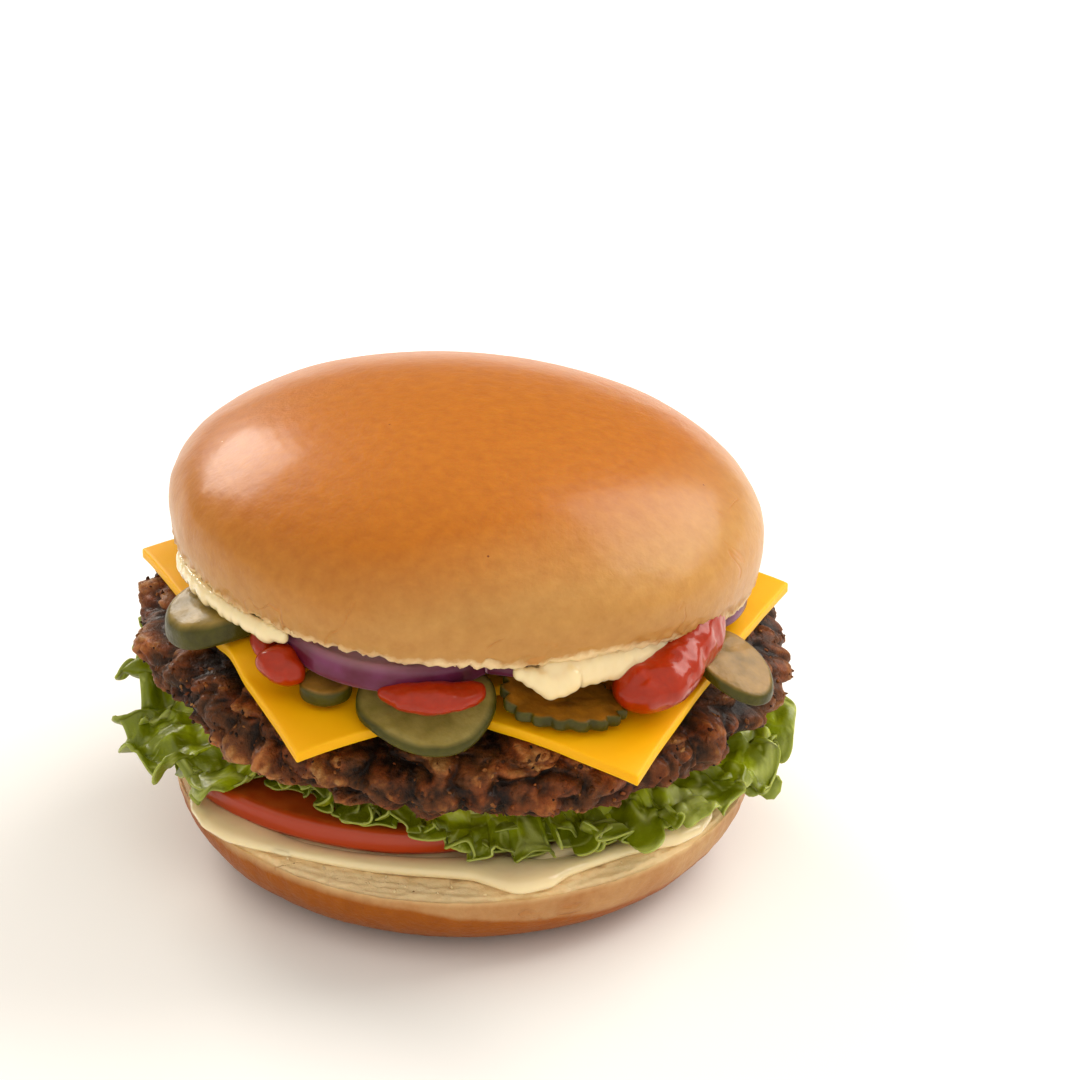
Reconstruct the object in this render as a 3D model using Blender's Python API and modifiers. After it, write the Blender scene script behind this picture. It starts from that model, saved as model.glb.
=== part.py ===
"""A hamburger, from its foot up: heel, sauce, tomato, lettuce, patty, two cheese slices, pickles,
ketchup, onion, sauce and crown. Metres, +Z up, origin under the middle of the heel."""

import math

import bpy
from mathutils import Vector, noise

# Driving dimensions
BUN_RADIUS = 0.055
CROWN_HEIGHT = 0.0300
HEEL_HEIGHT = 0.0165
PATTY_RADIUS = 0.0622
PATTY_HALF = 0.0085
PATTY_MIDDLE = 0.0407
CHEESE_SIDE = 0.0742
CHEESE_THICK = 0.0020
TOMATO_RADIUS = 0.0445
TOMATO_THICK = 0.0045
LEAF_THICK = 0.0009
GAP = 0.0003

# The filling leans: lower to the right, and lower in front
LEAN_RIGHT = 0.0524
LEAN_FRONT = 0.045
CROWN_TURN = (math.radians(-3.5), math.radians(5.0), 0.0)
CROWN_PLACE = Vector((0.0003, 0.0, 0.0580))

# Turned shapes
CROWN_CUT_RADIUS = 0.0525
CROWN_WIDEST = 0.008
CROWN_SQUARENESS = 2.08
CROWN_HOLLOW = 0.0047
# (radius, share of the hollow's depth) from its rim to its flat middle
HOLLOW_STOPS = ((0.0497, 0.0), (0.0430, 0.5), (0.0300, 1.0), (0.0150, 1.0), (0.0, 1.0))
CROWN_OFF_CENTRE = 0.0012
HEEL_FOOT_RADIUS = 0.036
HEEL_ROUNDING = 0.015
PATTY_CENTRE = Vector((0.0, 0.0015))
PATTY_SQUARENESS = 6.0
PATTY_RELIEF = 0.0038
PATTY_LUMP = 0.0085
TOMATO_CENTRE = Vector((-0.0099, 0.0))

# The crown's rim is torn and pushed up on one side: (angle in degrees, half width, rise)
CROWN_LIFT = (-55.0, 30.0, 0.0026)

# Where the cheese starts to bend down towards its corners, and how fast
DROOP_START = 0.044
DROOP_RATE = 7.5
DROOP_EASE = 0.060
CHEESE_GAP = 0.0003
CHEESE_LAYER = 0.0029

# (centre x, centre y, turn in degrees) of the two slices
CHEESE_LOWER = (0.0121, -0.0108, -24.8)
CHEESE_UPPER = (-0.0110, -0.0089, 25.2)

# (centre x, centre y, radius along x, along y, turn in degrees, thickness, slope x, slope y, rise, reach)
PICKLES = {
    "pickle_left": (-0.0437, -0.0222, 0.0100, 0.0095, 0, 0.0050, 0.02, 0.02, -0.0008, 0.020),
    "pickle_inner": (-0.0241, -0.0442, 0.0047, 0.0040, 0, 0.0031, 0.00, 0.00, 0.0, 0.009),
    "pickle_front": (-0.0067, -0.0482, 0.0124, 0.0093, 0, 0.0018, 0.00, 0.00, 0.0, 0.011),
    "pickle_ridged": (0.0178, -0.0456, 0.0114, 0.0066, 0, 0.0021, 0.00, 0.00, 0.0, 0.009),
    "pickle_right": (0.0480, -0.0306, 0.0070, 0.0086, 38, 0.0024, 0.00, 0.00, 0.0, 0.026),
}
RIDGE_COUNT = 17
RIDGE_DEPTH = 0.0012

# (centre x, centre y, radius, thickness)
ONION_LEFT = (-0.0120, -0.0303, 0.0213, 0.0050)
ONION_RIGHT = (0.0115, -0.0045, 0.0412, 0.0031)
# Its edge is pressed in beside the ketchup: (angle in degrees, half width, depth as a share)
ONION_NOTCH = (-44.0, 20.0, 0.18)
ONION_LEFT_PLANE = 0.0574
ONION_RIGHT_PLANE = 0.0532
ONION_RIGHT_SLOPE = (-0.078, -0.056)
ONION_BACK = 0.0060

# (centre x, centre y, half length, half width, turn in degrees, height, taper, rise of the thin end)
KETCHUP = {
    "ketchup_left": (-0.0322, -0.0404, 0.0072, 0.0042, 74, 0.0044, 0.0, 0.0),
    "ketchup_middle": (-0.0060, -0.0545, 0.0078, 0.0028, 0, 0.0030, 0.0, 0.0),
    "ketchup_right": (0.0372, -0.0370, 0.0138, 0.0076, 60, 0.0074, 0.58, 0.0041),
}
UNDER_ONION = 0.0006

# Sauce edges: (angle in degrees, how far the lobe runs out, half width in degrees)
LOWER_SAUCE_RADIUS = 0.0470
LOWER_SAUCE_THICK = 0.0019
LOWER_SAUCE_LOBES = ((-146, 0.0064, 12), (-130, 0.0064, 9), (-113, 0.0032, 12), (-79, 0.0072, 8),
                     (-41, 0.0072, 8), (-22, 0.0066, 9), (20, 0.003, 14), (70, 0.005, 10), (120, 0.003, 16),
                     (165, 0.004, 12))
UPPER_SAUCE_RADIUS = 0.0470
UPPER_SAUCE_THICK = 0.0009
UPPER_SAUCE_LOBES = ((-160, 0.0048, 15), (-71, 0.0060, 7), (-54, 0.0046, 11), (37, 0.0036, 11),
                     (60, 0.0050, 16), (90, 0.0048, 16), (120, 0.0056, 17), (149, 0.0058, 16),
                     (175, 0.0050, 13))
UPPER_SAUCE_FATNESS = 0.62

# Lettuce: (first angle, last angle) of each leaf
LEAVES = {
    "lettuce_left": (133.0, 216.5),
    "lettuce_front": (217.5, 288.0),
    "lettuce_right": (289.0, 384.0),
    "lettuce_back": (385.0, 492.0),
}
LEAF_INNER_RADIUS = 0.028
# Its edge all round: (angle, radius, height)
LEAF_EDGE = ((0, 0.0590, 0.0260), (22, 0.0595, 0.0260), (45, 0.0600, 0.0250), (70, 0.0590, 0.0240),
             (95, 0.0600, 0.0245), (120, 0.0590, 0.0255), (145, 0.0610, 0.0300), (165, 0.0630, 0.0345),
             (180, 0.0637, 0.0310), (190, 0.0640, 0.0265), (202, 0.0618, 0.0230), (213, 0.0575, 0.0210),
             (218, 0.0490, 0.0262), (232, 0.0462, 0.0268), (245, 0.0474, 0.0262), (262, 0.0486, 0.0250),
             (272, 0.0498, 0.0222), (283, 0.0506, 0.0195), (294, 0.0505, 0.0215), (303, 0.0540, 0.0210),
             (315, 0.0560, 0.0205), (328, 0.0575, 0.0215), (338, 0.0610, 0.0225), (350, 0.0610, 0.0240))
# (waves round the burger, share of the height, phase): folds, then the frill of the edge
RUFFLES = ((9, 0.20, 0.6), (22, 0.62, 2.1), (39, 0.42, 0.3))
RUFFLE_MOST = 0.0042
FRILL_WANDER = 0.0016


def collection_named(name):
    made = bpy.data.collections.new(name)
    bpy.context.scene.collection.children.link(made)
    return made


def food_material(name, colour, roughness):
    material = bpy.data.materials.new(name)
    material.use_nodes = True
    shader = material.node_tree.nodes["Principled BSDF"]
    shader.inputs["Base Color"].default_value = (*colour, 1.0)
    shader.inputs["Roughness"].default_value = roughness
    material.diffuse_color = (*colour, 1.0)
    return material


def new_object(name, mesh, collection, material):
    made = bpy.data.objects.new(name, mesh)
    collection.objects.link(made)
    made.data.materials.clear()
    made.data.materials.append(material)
    return made


def primitive_in(collection):
    """The primitive just added, moved into the collection."""
    shape = bpy.context.active_object
    for owner in shape.users_collection:
        owner.objects.unlink(shape)
    collection.objects.link(shape)
    return shape


def applied(shape, name, collection, material):
    """The shape with its modifiers worked in, as a new object, and the old one gone."""
    bpy.context.view_layer.update()
    graph = bpy.context.evaluated_depsgraph_get()
    mesh = bpy.data.meshes.new_from_object(shape.evaluated_get(graph))
    mesh.transform(shape.matrix_world)
    bpy.data.objects.remove(shape)
    mesh.name = name
    return new_object(name, mesh, collection, material)


def turned(name, profile, segments, collection, material):
    """A solid of revolution about Z. The profile runs from the top of the axis, outside, to its foot."""
    mesh = bpy.data.meshes.new(name)
    points = [(radius, 0.0, height) for radius, height in profile]
    mesh.from_pydata(points, [(i, i + 1) for i in range(len(points) - 1)], [])
    shape = bpy.data.objects.new(name, mesh)
    collection.objects.link(shape)
    screw = shape.modifiers.new("Turn", "SCREW")
    screw.steps = segments
    screw.render_steps = segments
    screw.use_merge_vertices = True
    screw.merge_threshold = 0.00001
    return applied(shape, name, collection, material)


def reshape(shape, rule):
    """Moves each vertex of the shape to where the rule puts it."""
    for vertex in shape.data.vertices:
        vertex.co = rule(vertex.co.copy())
    shape.data.update()
    return shape


def soften(shape, angle=40.0):
    shape.data.shade_smooth()
    shape.data.set_sharp_from_angle(angle=math.radians(angle))


def step_between(low, high, value):
    """Smoothly from 0 at low to 1 at high."""
    share = min(1.0, max(0.0, (value - low) / (high - low)))
    return share * share * (3.0 - 2.0 * share)


def lean(x, y):
    return LEAN_FRONT * y - LEAN_RIGHT * x


def outside_slice(x, y, slice_place):
    """How far a point lies outside a cheese slice in plan, 0 inside it."""
    centre_x, centre_y, degrees = slice_place
    turn = math.radians(-degrees)
    dx, dy = x - centre_x, y - centre_y
    along = abs(dx * math.cos(turn) - dy * math.sin(turn)) - CHEESE_SIDE / 2
    across = abs(dx * math.sin(turn) + dy * math.cos(turn)) - CHEESE_SIDE / 2
    return math.hypot(max(along, 0.0), max(across, 0.0))


def drape(x, y):
    """Height of the surface that the cheese follows over the top of the patty."""
    beyond = max(0.0, math.hypot(x, y) - DROOP_START)
    droop = DROOP_RATE * beyond * beyond / (1.0 + beyond / DROOP_EASE)
    return PATTY_MIDDLE + PATTY_HALF - droop + lean(x, y)


def cheese_share(x, y, slice_place, reach):
    """1 on a cheese slice, falling to 0 at reach outside it."""
    return 1.0 - step_between(0.0006, reach, outside_slice(x, y, slice_place))


def topping_floor(x, y, reach):
    """Height that a topping lies at, over the patty and whichever slices are under it."""
    slices = cheese_share(x, y, CHEESE_LOWER, reach) + cheese_share(x, y, CHEESE_UPPER, reach)
    return drape(x, y) + CHEESE_GAP + GAP + slices * CHEESE_LAYER


def crown_profile():
    """(radius, height) from the top of the dome, down its side, in under its lip, to the axis."""
    dome_rings, side_rings = 9, 3
    outer = []
    for i in range(dome_rings + 1):
        share = 1.0 - math.cos(math.pi / 2 * i / dome_rings)
        fall = 1.0 - share
        radius = BUN_RADIUS * (1.0 - fall ** CROWN_SQUARENESS) ** (1 / CROWN_SQUARENESS)
        outer.append((radius, CROWN_WIDEST + (CROWN_HEIGHT - CROWN_WIDEST) * fall))
    for i in range(1, side_rings + 1):
        turn = math.pi / 2 * i / side_rings
        tuck = (BUN_RADIUS - CROWN_CUT_RADIUS) * (1.0 - math.cos(turn))
        outer.append((BUN_RADIUS - tuck, CROWN_WIDEST * (1.0 - math.sin(turn))))
    return outer + [(radius, CROWN_HOLLOW * share) for radius, share in HOLLOW_STOPS]


def crown_hollow(radius):
    """How far the soft underside of the crown is pressed up above its rim."""
    for outer, inner in zip(HOLLOW_STOPS, HOLLOW_STOPS[1:]):
        if radius >= inner[0]:
            share = min(1.0, max(0.0, (outer[0] - radius) / (outer[0] - inner[0])))
            return CROWN_HOLLOW * (outer[1] + (inner[1] - outer[1]) * share)


def crown_lift(x, y, height):
    """How far the rim is pushed up where it is torn, fading up the side of the dome."""
    centre, half_width, rise = CROWN_LIFT
    off = (math.degrees(math.atan2(y, x)) - centre + 180.0) % 360.0 - 180.0
    round_share = math.exp(-((off / half_width) ** 2)) * step_between(0.030, 0.048, math.hypot(x, y))
    return rise * round_share * (1.0 - step_between(0.002, 0.016, height))


def crown_matrix():
    """Where the crown sits, tipped back a little and down to the right."""
    guide = bpy.data.objects.new("guide", None)
    guide.rotation_euler = CROWN_TURN
    guide.location = CROWN_PLACE
    matrix = guide.matrix_basis.copy()
    bpy.data.objects.remove(guide)
    return matrix


def crown_underside(x, y, matrix):
    """World height of the underside of the crown over a point."""
    down = matrix.inverted()
    height = CROWN_PLACE.z
    for _ in range(4):
        local = down @ Vector((x, y, height))
        under = crown_hollow(math.hypot(local.x, local.y)) + crown_lift(local.x, local.y, 0.0)
        height += under - local.z
    return height


def make_crown(collection, material, matrix):
    crown = turned("bun_crown", crown_profile(), 44, collection, material)

    def rule(point):
        radius = math.hypot(point.x, point.y)
        share = step_between(0.030, BUN_RADIUS, radius) * step_between(-0.001, 0.012, point.z)
        swell = noise.noise(Vector((point.x, point.y, point.z)) * 26.0) * 0.0011 * share
        scale = 1.0 + swell / max(radius, 0.001)
        push = CROWN_OFF_CENTRE * step_between(0.0, CROWN_HEIGHT, point.z)
        rise = crown_lift(point.x, point.y, point.z)
        return Vector((point.x * scale + push, point.y * scale, point.z + rise))

    reshape(crown, rule)
    crown.matrix_world = matrix
    soften(crown)


def make_heel(collection, material):
    side_rings = 7
    profile = [(0.0, HEEL_HEIGHT), (0.028, HEEL_HEIGHT), (0.046, HEEL_HEIGHT),
               (BUN_RADIUS - 0.0012, HEEL_HEIGHT - 0.0002)]
    for i in range(side_rings + 1):
        turn = math.pi / 2 * (1.0 - i / side_rings)
        radius = HEEL_FOOT_RADIUS + (BUN_RADIUS - 0.0005 - HEEL_FOOT_RADIUS) * math.sin(turn)
        profile.append((radius, HEEL_ROUNDING * (1.0 - math.cos(turn))))
    profile += [(0.018, 0.0), (0.0, 0.0)]
    soften(turned("bun_heel", profile, 42, collection, material))


def lobe_reach(angle, lobes):
    """How far sauce runs out past its plain edge at an angle in degrees."""
    reach = 0.0
    for centre, length, half_width in lobes:
        off = (angle - centre + 180.0) % 360.0 - 180.0
        reach = max(reach, length * math.exp(-((off / half_width) ** 2)))
    return reach


def make_lower_sauce(collection, material):
    """A spread of sauce on the heel, with tongues that run to its edge."""
    rise = LOWER_SAUCE_THICK
    radius = LOWER_SAUCE_RADIUS
    profile = [(0.0, rise), (radius * 0.5, rise), (radius * 0.88, rise), (radius * 0.97, rise * 0.8),
               (radius, rise * 0.35), (radius * 0.985, 0.0), (radius * 0.5, 0.0), (0.0, 0.0)]
    sauce = turned("mayo_lower", profile, 54, collection, material)

    def rule(point):
        angle = math.degrees(math.atan2(point.y, point.x))
        share = math.hypot(point.x, point.y) / radius
        out = lobe_reach(angle, LOWER_SAUCE_LOBES)
        scale = 1.0 + out / radius * step_between(0.6, 1.0, share)
        x, y = point.x * scale, point.y * scale
        beyond = math.hypot(x - TOMATO_CENTRE.x, y - TOMATO_CENTRE.y) - TOMATO_RADIUS
        fatter = 1.0 + 0.7 * step_between(0.85, 0.97, share) * step_between(0.0015, 0.0045, beyond)
        return Vector((x, y, HEEL_HEIGHT + GAP + point.z * fatter))

    soften(reshape(sauce, rule))


def make_tomato(collection, material):
    half = TOMATO_THICK / 2
    radius = TOMATO_RADIUS
    profile = [(0.0, half), (radius * 0.5, half), (radius - 0.0014, half), (radius, half * 0.35),
               (radius, -half * 0.35), (radius - 0.0012, -half), (radius * 0.5, -half), (0.0, -half)]
    tomato = turned("tomato_slice", profile, 36, collection, material)
    floor = HEEL_HEIGHT + GAP + LOWER_SAUCE_THICK + GAP

    def rule(point):
        angle = math.atan2(point.y, point.x)
        lobed = 1.0 + 0.018 * math.cos(5 * angle + 0.6) + 0.012 * math.cos(3 * angle)
        x = point.x * lobed + TOMATO_CENTRE.x
        return Vector((x, point.y * lobed + TOMATO_CENTRE.y, floor + half + point.z))

    soften(reshape(tomato, rule))


def patty_shell(radius):
    """Half the thickness of the patty at a radius, before its relief."""
    share = min(1.0, radius / PATTY_RADIUS)
    return PATTY_HALF * math.sqrt(max(0.0, 1.0 - share ** PATTY_SQUARENESS))


def patty_floor(x, y):
    """Height of the underside of the patty over a point, and of its middle outside it."""
    radius = math.hypot(x - PATTY_CENTRE.x, y - PATTY_CENTRE.y)
    return PATTY_MIDDLE - patty_shell(radius) + lean(x, y)


def make_patty(collection, material):
    """A seared patty: crags only cut into its plain shell, so it stays clear of its neighbours."""
    rings = 18
    profile = [(0.0, PATTY_HALF), (0.024, PATTY_HALF)]
    for i in range(rings + 1):
        turn = math.pi * (i / rings - 0.5)
        radius = PATTY_RADIUS * math.cos(turn) ** 0.36
        if radius > 0.040:
            profile.append((radius, -math.copysign(patty_shell(radius), turn)))
    profile += [(0.024, -PATTY_HALF), (0.0, -PATTY_HALF)]
    patty = turned("beef_patty", profile, 66, collection, material)

    def rule(point):
        radius = math.hypot(point.x, point.y)
        rim = step_between(0.038, 0.056, radius)
        spot = Vector((point.x, point.y, point.z * 1.2)) / PATTY_LUMP
        near, second = noise.voronoi(spot)[0][:2]
        grain = min(1.0, near * 1.35) ** 1.6 * (0.4 + 0.6 * min(1.0, near / max(second, 0.01)))
        swell = 0.5 + 0.5 * noise.noise(spot * 0.35 + Vector((7.0, 3.0, 1.0)))
        cut = PATTY_RELIEF * (0.95 * grain + 0.45 * swell)
        inward = 1.0 - rim * cut / max(radius, 0.001)
        flatter = 1.0 - (0.03 + 0.10 * grain) * rim
        x = point.x * inward + PATTY_CENTRE.x
        y = point.y * inward + PATTY_CENTRE.y
        return Vector((x, y, PATTY_MIDDLE + point.z * flatter + lean(x, y)))

    soften(reshape(patty, rule), 60.0)


def make_cheese(name, place, on_lower, collection, material):
    """A square slice laid over the patty, its corners bending down past the edge."""
    bpy.ops.mesh.primitive_grid_add(x_subdivisions=10, y_subdivisions=10, size=CHEESE_SIDE)
    flat = primitive_in(collection)
    split = flat.modifiers.new("Triangles", "TRIANGULATE")
    split.quad_method = "FIXED"
    thicken = flat.modifiers.new("Thickness", "SOLIDIFY")
    thicken.thickness = CHEESE_THICK
    thicken.offset = 1.0
    flat.rotation_euler.z = math.radians(place[2])
    flat.location = (place[0], place[1], 0.0)
    cheese = applied(flat, name, collection, material)

    def rule(point):
        under = cheese_share(point.x, point.y, CHEESE_LOWER, 0.009) if on_lower else 0.0
        floor = drape(point.x, point.y) + CHEESE_GAP + under * CHEESE_LAYER
        return Vector((point.x, point.y, floor + point.z))

    soften(reshape(cheese, rule))


def disc_profile(thickness, rounding, rings):
    """Section of a disc of radius 1 lying on height 0: its top, its rounded rim and its foot."""
    edge = 1.0 - rounding
    top = [(edge * i / rings, thickness) for i in range(rings + 1)]
    rim = [(1.0, thickness * 0.68), (1.0, thickness * 0.30)]
    foot = [(edge * (rings - i) / rings, 0.0) for i in range(rings + 1)]
    return top + rim + foot


def make_pickle(name, size, collection, material):
    centre_x, centre_y, radius_x, radius_y, degrees, thickness, slope_x, slope_y, rise, reach = size
    ridge = RIDGE_DEPTH if name == "pickle_ridged" else 0.0
    segments = 4 * RIDGE_COUNT if ridge else 24
    pickle = turned(name, disc_profile(thickness, 0.09, 2), segments, collection, material)
    turn = math.radians(degrees)

    def rule(point):
        share = math.hypot(point.x, point.y)
        angle = math.atan2(point.y, point.x)
        groove = ridge * step_between(0.5, 1.0, share) * (0.5 + 0.5 * math.cos(RIDGE_COUNT * angle))
        fluted = 1.0 - groove / radius_x
        along, across = point.x * radius_x * fluted, point.y * radius_y * fluted
        dx = along * math.cos(turn) - across * math.sin(turn)
        dy = along * math.sin(turn) + across * math.cos(turn)
        x, y = centre_x + dx, centre_y + dy
        tipped = slope_x * dx + slope_y * dy + rise
        return Vector((x, y, topping_floor(x, y, reach) + tipped + point.z))

    soften(reshape(pickle, rule))


def make_onion(name, size, floor_rule, collection, material, notch=(0.0, 1.0, 0.0)):
    centre_x, centre_y, radius, thickness = size
    onion = turned(name, disc_profile(thickness, 0.04, 2), 34, collection, material)

    def rule(point):
        angle = math.degrees(math.atan2(point.y, point.x))
        share = math.hypot(point.x, point.y)
        pressed = notch[2] * math.exp(-(((angle - notch[0]) / notch[1]) ** 2)) * share
        x = centre_x + point.x * radius * (1.0 - pressed)
        y = centre_y + point.y * radius * (1.0 - pressed)
        return Vector((x, y, floor_rule(x, y) + point.z))

    return reshape(onion, rule)


def cutter(name, collection):
    """The shape just made, kept as a tool that cuts and isn't part of the burger."""
    shape = primitive_in(collection)
    shape.name = name
    shape.hide_render = True
    shape.display_type = "WIRE"
    return shape


def cut_away(shape, cutters):
    for tool in cutters:
        boolean = shape.modifiers.new("Clear_" + tool.name, "BOOLEAN")
        boolean.operation = "DIFFERENCE"
        boolean.solver = "EXACT"
        boolean.object = tool


def make_onions(collection, cutters, material):
    """A small thick slice, and a wide one that is cut clear of its round side."""

    def thick_floor(x, y):
        return ONION_LEFT_PLANE + lean(x, y)

    soften(make_onion("onion_left", ONION_LEFT, thick_floor, collection, material))

    def wide_floor(x, y):
        plane = ONION_RIGHT_PLANE + ONION_RIGHT_SLOPE[0] * (x - ONION_RIGHT[0])
        plane += ONION_RIGHT_SLOPE[1] * (y - ONION_RIGHT[1])
        return max(plane, topping_floor(x, y, 0.020))

    right = make_onion("onion_right", ONION_RIGHT, wide_floor, collection, material, ONION_NOTCH)
    bpy.ops.mesh.primitive_cylinder_add(vertices=36, radius=ONION_LEFT[2] + GAP, depth=0.06,
                                        location=(ONION_LEFT[0], ONION_LEFT[1], ONION_LEFT_PLANE))
    round_tool = cutter("round_of_left", cutters)
    bpy.ops.mesh.primitive_cube_add(size=0.1, location=(0.0, ONION_BACK + 0.05, ONION_LEFT_PLANE))
    cut_away(right, [round_tool, cutter("behind", cutters)])


def make_ketchup(name, size, collection, material):
    """A thick drop: a ball drawn out along what it lies on, flat below and round above."""
    centre_x, centre_y, half_length, half_width, degrees, height, taper, end_rise = size
    bpy.ops.mesh.primitive_uv_sphere_add(segments=14, ring_count=8, radius=1.0)
    drop = applied(primitive_in(collection), name, collection, material)
    turn = math.radians(degrees)
    on_pickle = PICKLES["pickle_front"][5] + GAP if name == "ketchup_middle" else 0.0

    def rule(point):
        along = point.x * half_length
        across = point.y * half_width * (1.0 - taper * (0.5 + 0.5 * point.x))
        x = centre_x + along * math.cos(turn) - across * math.sin(turn)
        y = centre_y + along * math.sin(turn) + across * math.cos(turn)
        up = 0.30 + point.z * (0.70 if point.z > 0 else 0.30)
        end_share = 0.5 + 0.5 * point.x
        tall = height * (1.0 - taper * end_share)
        level = topping_floor(x, y, 0.026) + on_pickle + end_rise * end_share ** 2 + tall * up
        if math.hypot(x - ONION_LEFT[0], y - ONION_LEFT[1]) < ONION_LEFT[2] + UNDER_ONION:
            level = min(level, ONION_LEFT_PLANE + lean(x, y) - UNDER_ONION)
        return Vector((x, y, level))

    soften(reshape(drop, rule))


def make_upper_sauce(collection, material, matrix):
    """Sauce that lines the underside of the crown and squeezes out in lobes under its edge."""
    radius = UPPER_SAUCE_RADIUS
    profile = [(0.0, 0.0), (radius * 0.45, 0.0), (radius * 0.8, 0.0), (radius * 0.94, 0.0), (radius, -0.3),
               (radius * 0.98, -0.85), (radius * 0.94, -1.0), (radius * 0.8, -1.0), (radius * 0.45, -1.0),
               (0.0, -1.0)]
    sauce = turned("mayo_upper", profile, 48, collection, material)

    def rule(point):
        angle = math.degrees(math.atan2(point.y, point.x))
        share = math.hypot(point.x, point.y) / radius
        out = lobe_reach(angle, UPPER_SAUCE_LOBES)
        scale = 1.0 + out / radius * step_between(0.55, 1.0, share)
        x, y = point.x * scale, point.y * scale
        thick = UPPER_SAUCE_THICK + UPPER_SAUCE_FATNESS * out * step_between(0.80, 1.0, share)
        return Vector((x, y, crown_underside(x, y, matrix) - GAP + point.z * thick))

    soften(reshape(sauce, rule))


def leaf_band(x, y):
    """(lowest, highest) that a leaf may reach over a point."""
    radius = math.hypot(x, y)
    on_tomato = math.hypot(x - TOMATO_CENTRE.x, y - TOMATO_CENTRE.y) - TOMATO_RADIUS * 1.035
    spread = HEEL_HEIGHT + LOWER_SAUCE_THICK + 3 * GAP
    low = spread + (TOMATO_THICK + GAP) * (1.0 - step_between(0.0, 0.004, on_tomato))
    low -= (spread - 0.0130) * step_between(0.0550, 0.0590, radius)
    return low, patty_floor(x, y) - GAP


def leaf_edge(degrees):
    """(radius, height) of the edge of the lettuce at an angle, read smoothly between the given ones."""
    degrees %= 360.0
    stops = LEAF_EDGE + ((360,) + LEAF_EDGE[0][1:],)
    for here, there in zip(stops, stops[1:]):
        if degrees <= there[0]:
            share = step_between(here[0], there[0], degrees)
            return tuple(a + (b - a) * share for a, b in zip(here[1:], there[1:]))


def make_leaf(name, ends, collection, material):
    """A ruffled leaf, held against the patty inside, with waves that deepen towards its edge."""
    first, last = ends
    along, across = int((last - first) * 0.38), 5
    bpy.ops.mesh.primitive_grid_add(x_subdivisions=along, y_subdivisions=across, size=1.0)
    flat = primitive_in(collection)
    split = flat.modifiers.new("Triangles", "TRIANGULATE")
    split.quad_method = "FIXED"
    leaf = applied(flat, name, collection, material)

    def rule(point):
        run, out = point.x + 0.5, point.y + 0.5
        degrees = last - run * (last - first)
        angle = math.radians(degrees)
        edge_radius, edge_height = leaf_edge(degrees)
        taper = 0.93 + 0.07 * math.sin(math.pi * (0.02 + 0.96 * run)) ** 0.3
        wander = FRILL_WANDER * math.sin(31 * angle + 1.0) * out ** 2
        radius = LEAF_INNER_RADIUS + (edge_radius * taper - LEAF_INNER_RADIUS) * out + wander
        x, y = radius * math.cos(angle), radius * math.sin(angle)
        low, high = leaf_band(x, y)
        low, high = low + LEAF_THICK * 0.9, high - LEAF_THICK * 0.9
        room = max(0.0, (high - low) / 2)
        middle = high + (edge_height - high) * out ** 0.8
        wave = sum(share * math.sin(count * angle + phase + 1.3 * math.sin(3 * angle)) * out ** (count / 30)
                   for count, share, phase in RUFFLES)
        middle += wave * min(room, RUFFLE_MOST) * step_between(0.0, 0.5, out)
        return Vector((x, y, min(max(middle, low), max(high, low))))

    reshape(leaf, rule)
    thicken = leaf.modifiers.new("Leaf", "SOLIDIFY")
    thicken.thickness = LEAF_THICK
    thicken.offset = 0.0
    leaf.data.shade_smooth()


def main():
    for old in list(bpy.data.objects):
        bpy.data.objects.remove(old)
    burger = collection_named("hamburger")
    cutters = collection_named("cutters")
    crust = food_material("baked_crust", (0.60, 0.27, 0.06), 0.35)
    sauce = food_material("mayonnaise", (0.80, 0.62, 0.36), 0.30)
    matrix = crown_matrix()
    make_heel(burger, crust)
    make_lower_sauce(burger, sauce)
    make_tomato(burger, food_material("tomato", (0.45, 0.06, 0.01), 0.30))
    leaf_green = food_material("lettuce", (0.20, 0.33, 0.03), 0.40)
    for name, size in LEAVES.items():
        make_leaf(name, size, burger, leaf_green)
    make_patty(burger, food_material("seared_beef", (0.10, 0.035, 0.015), 0.55))
    cheese = food_material("processed_cheese", (0.85, 0.42, 0.01), 0.35)
    make_cheese("cheese_lower", CHEESE_LOWER, False, burger, cheese)
    make_cheese("cheese_upper", CHEESE_UPPER, True, burger, cheese)
    pickled = food_material("pickle", (0.18, 0.13, 0.02), 0.25)
    for name, size in PICKLES.items():
        make_pickle(name, size, burger, pickled)
    make_onions(burger, cutters, food_material("red_onion", (0.25, 0.04, 0.07), 0.30))
    ketchup = food_material("ketchup", (0.35, 0.015, 0.004), 0.15)
    for name, size in KETCHUP.items():
        make_ketchup(name, size, burger, ketchup)
    make_upper_sauce(burger, sauce, matrix)
    make_crown(burger, crust, matrix)


main()
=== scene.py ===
import math

import bpy
import numpy as np
from bpy.props import FloatProperty, FloatVectorProperty, IntProperty, PointerProperty
from mathutils import Euler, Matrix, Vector, noise


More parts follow.
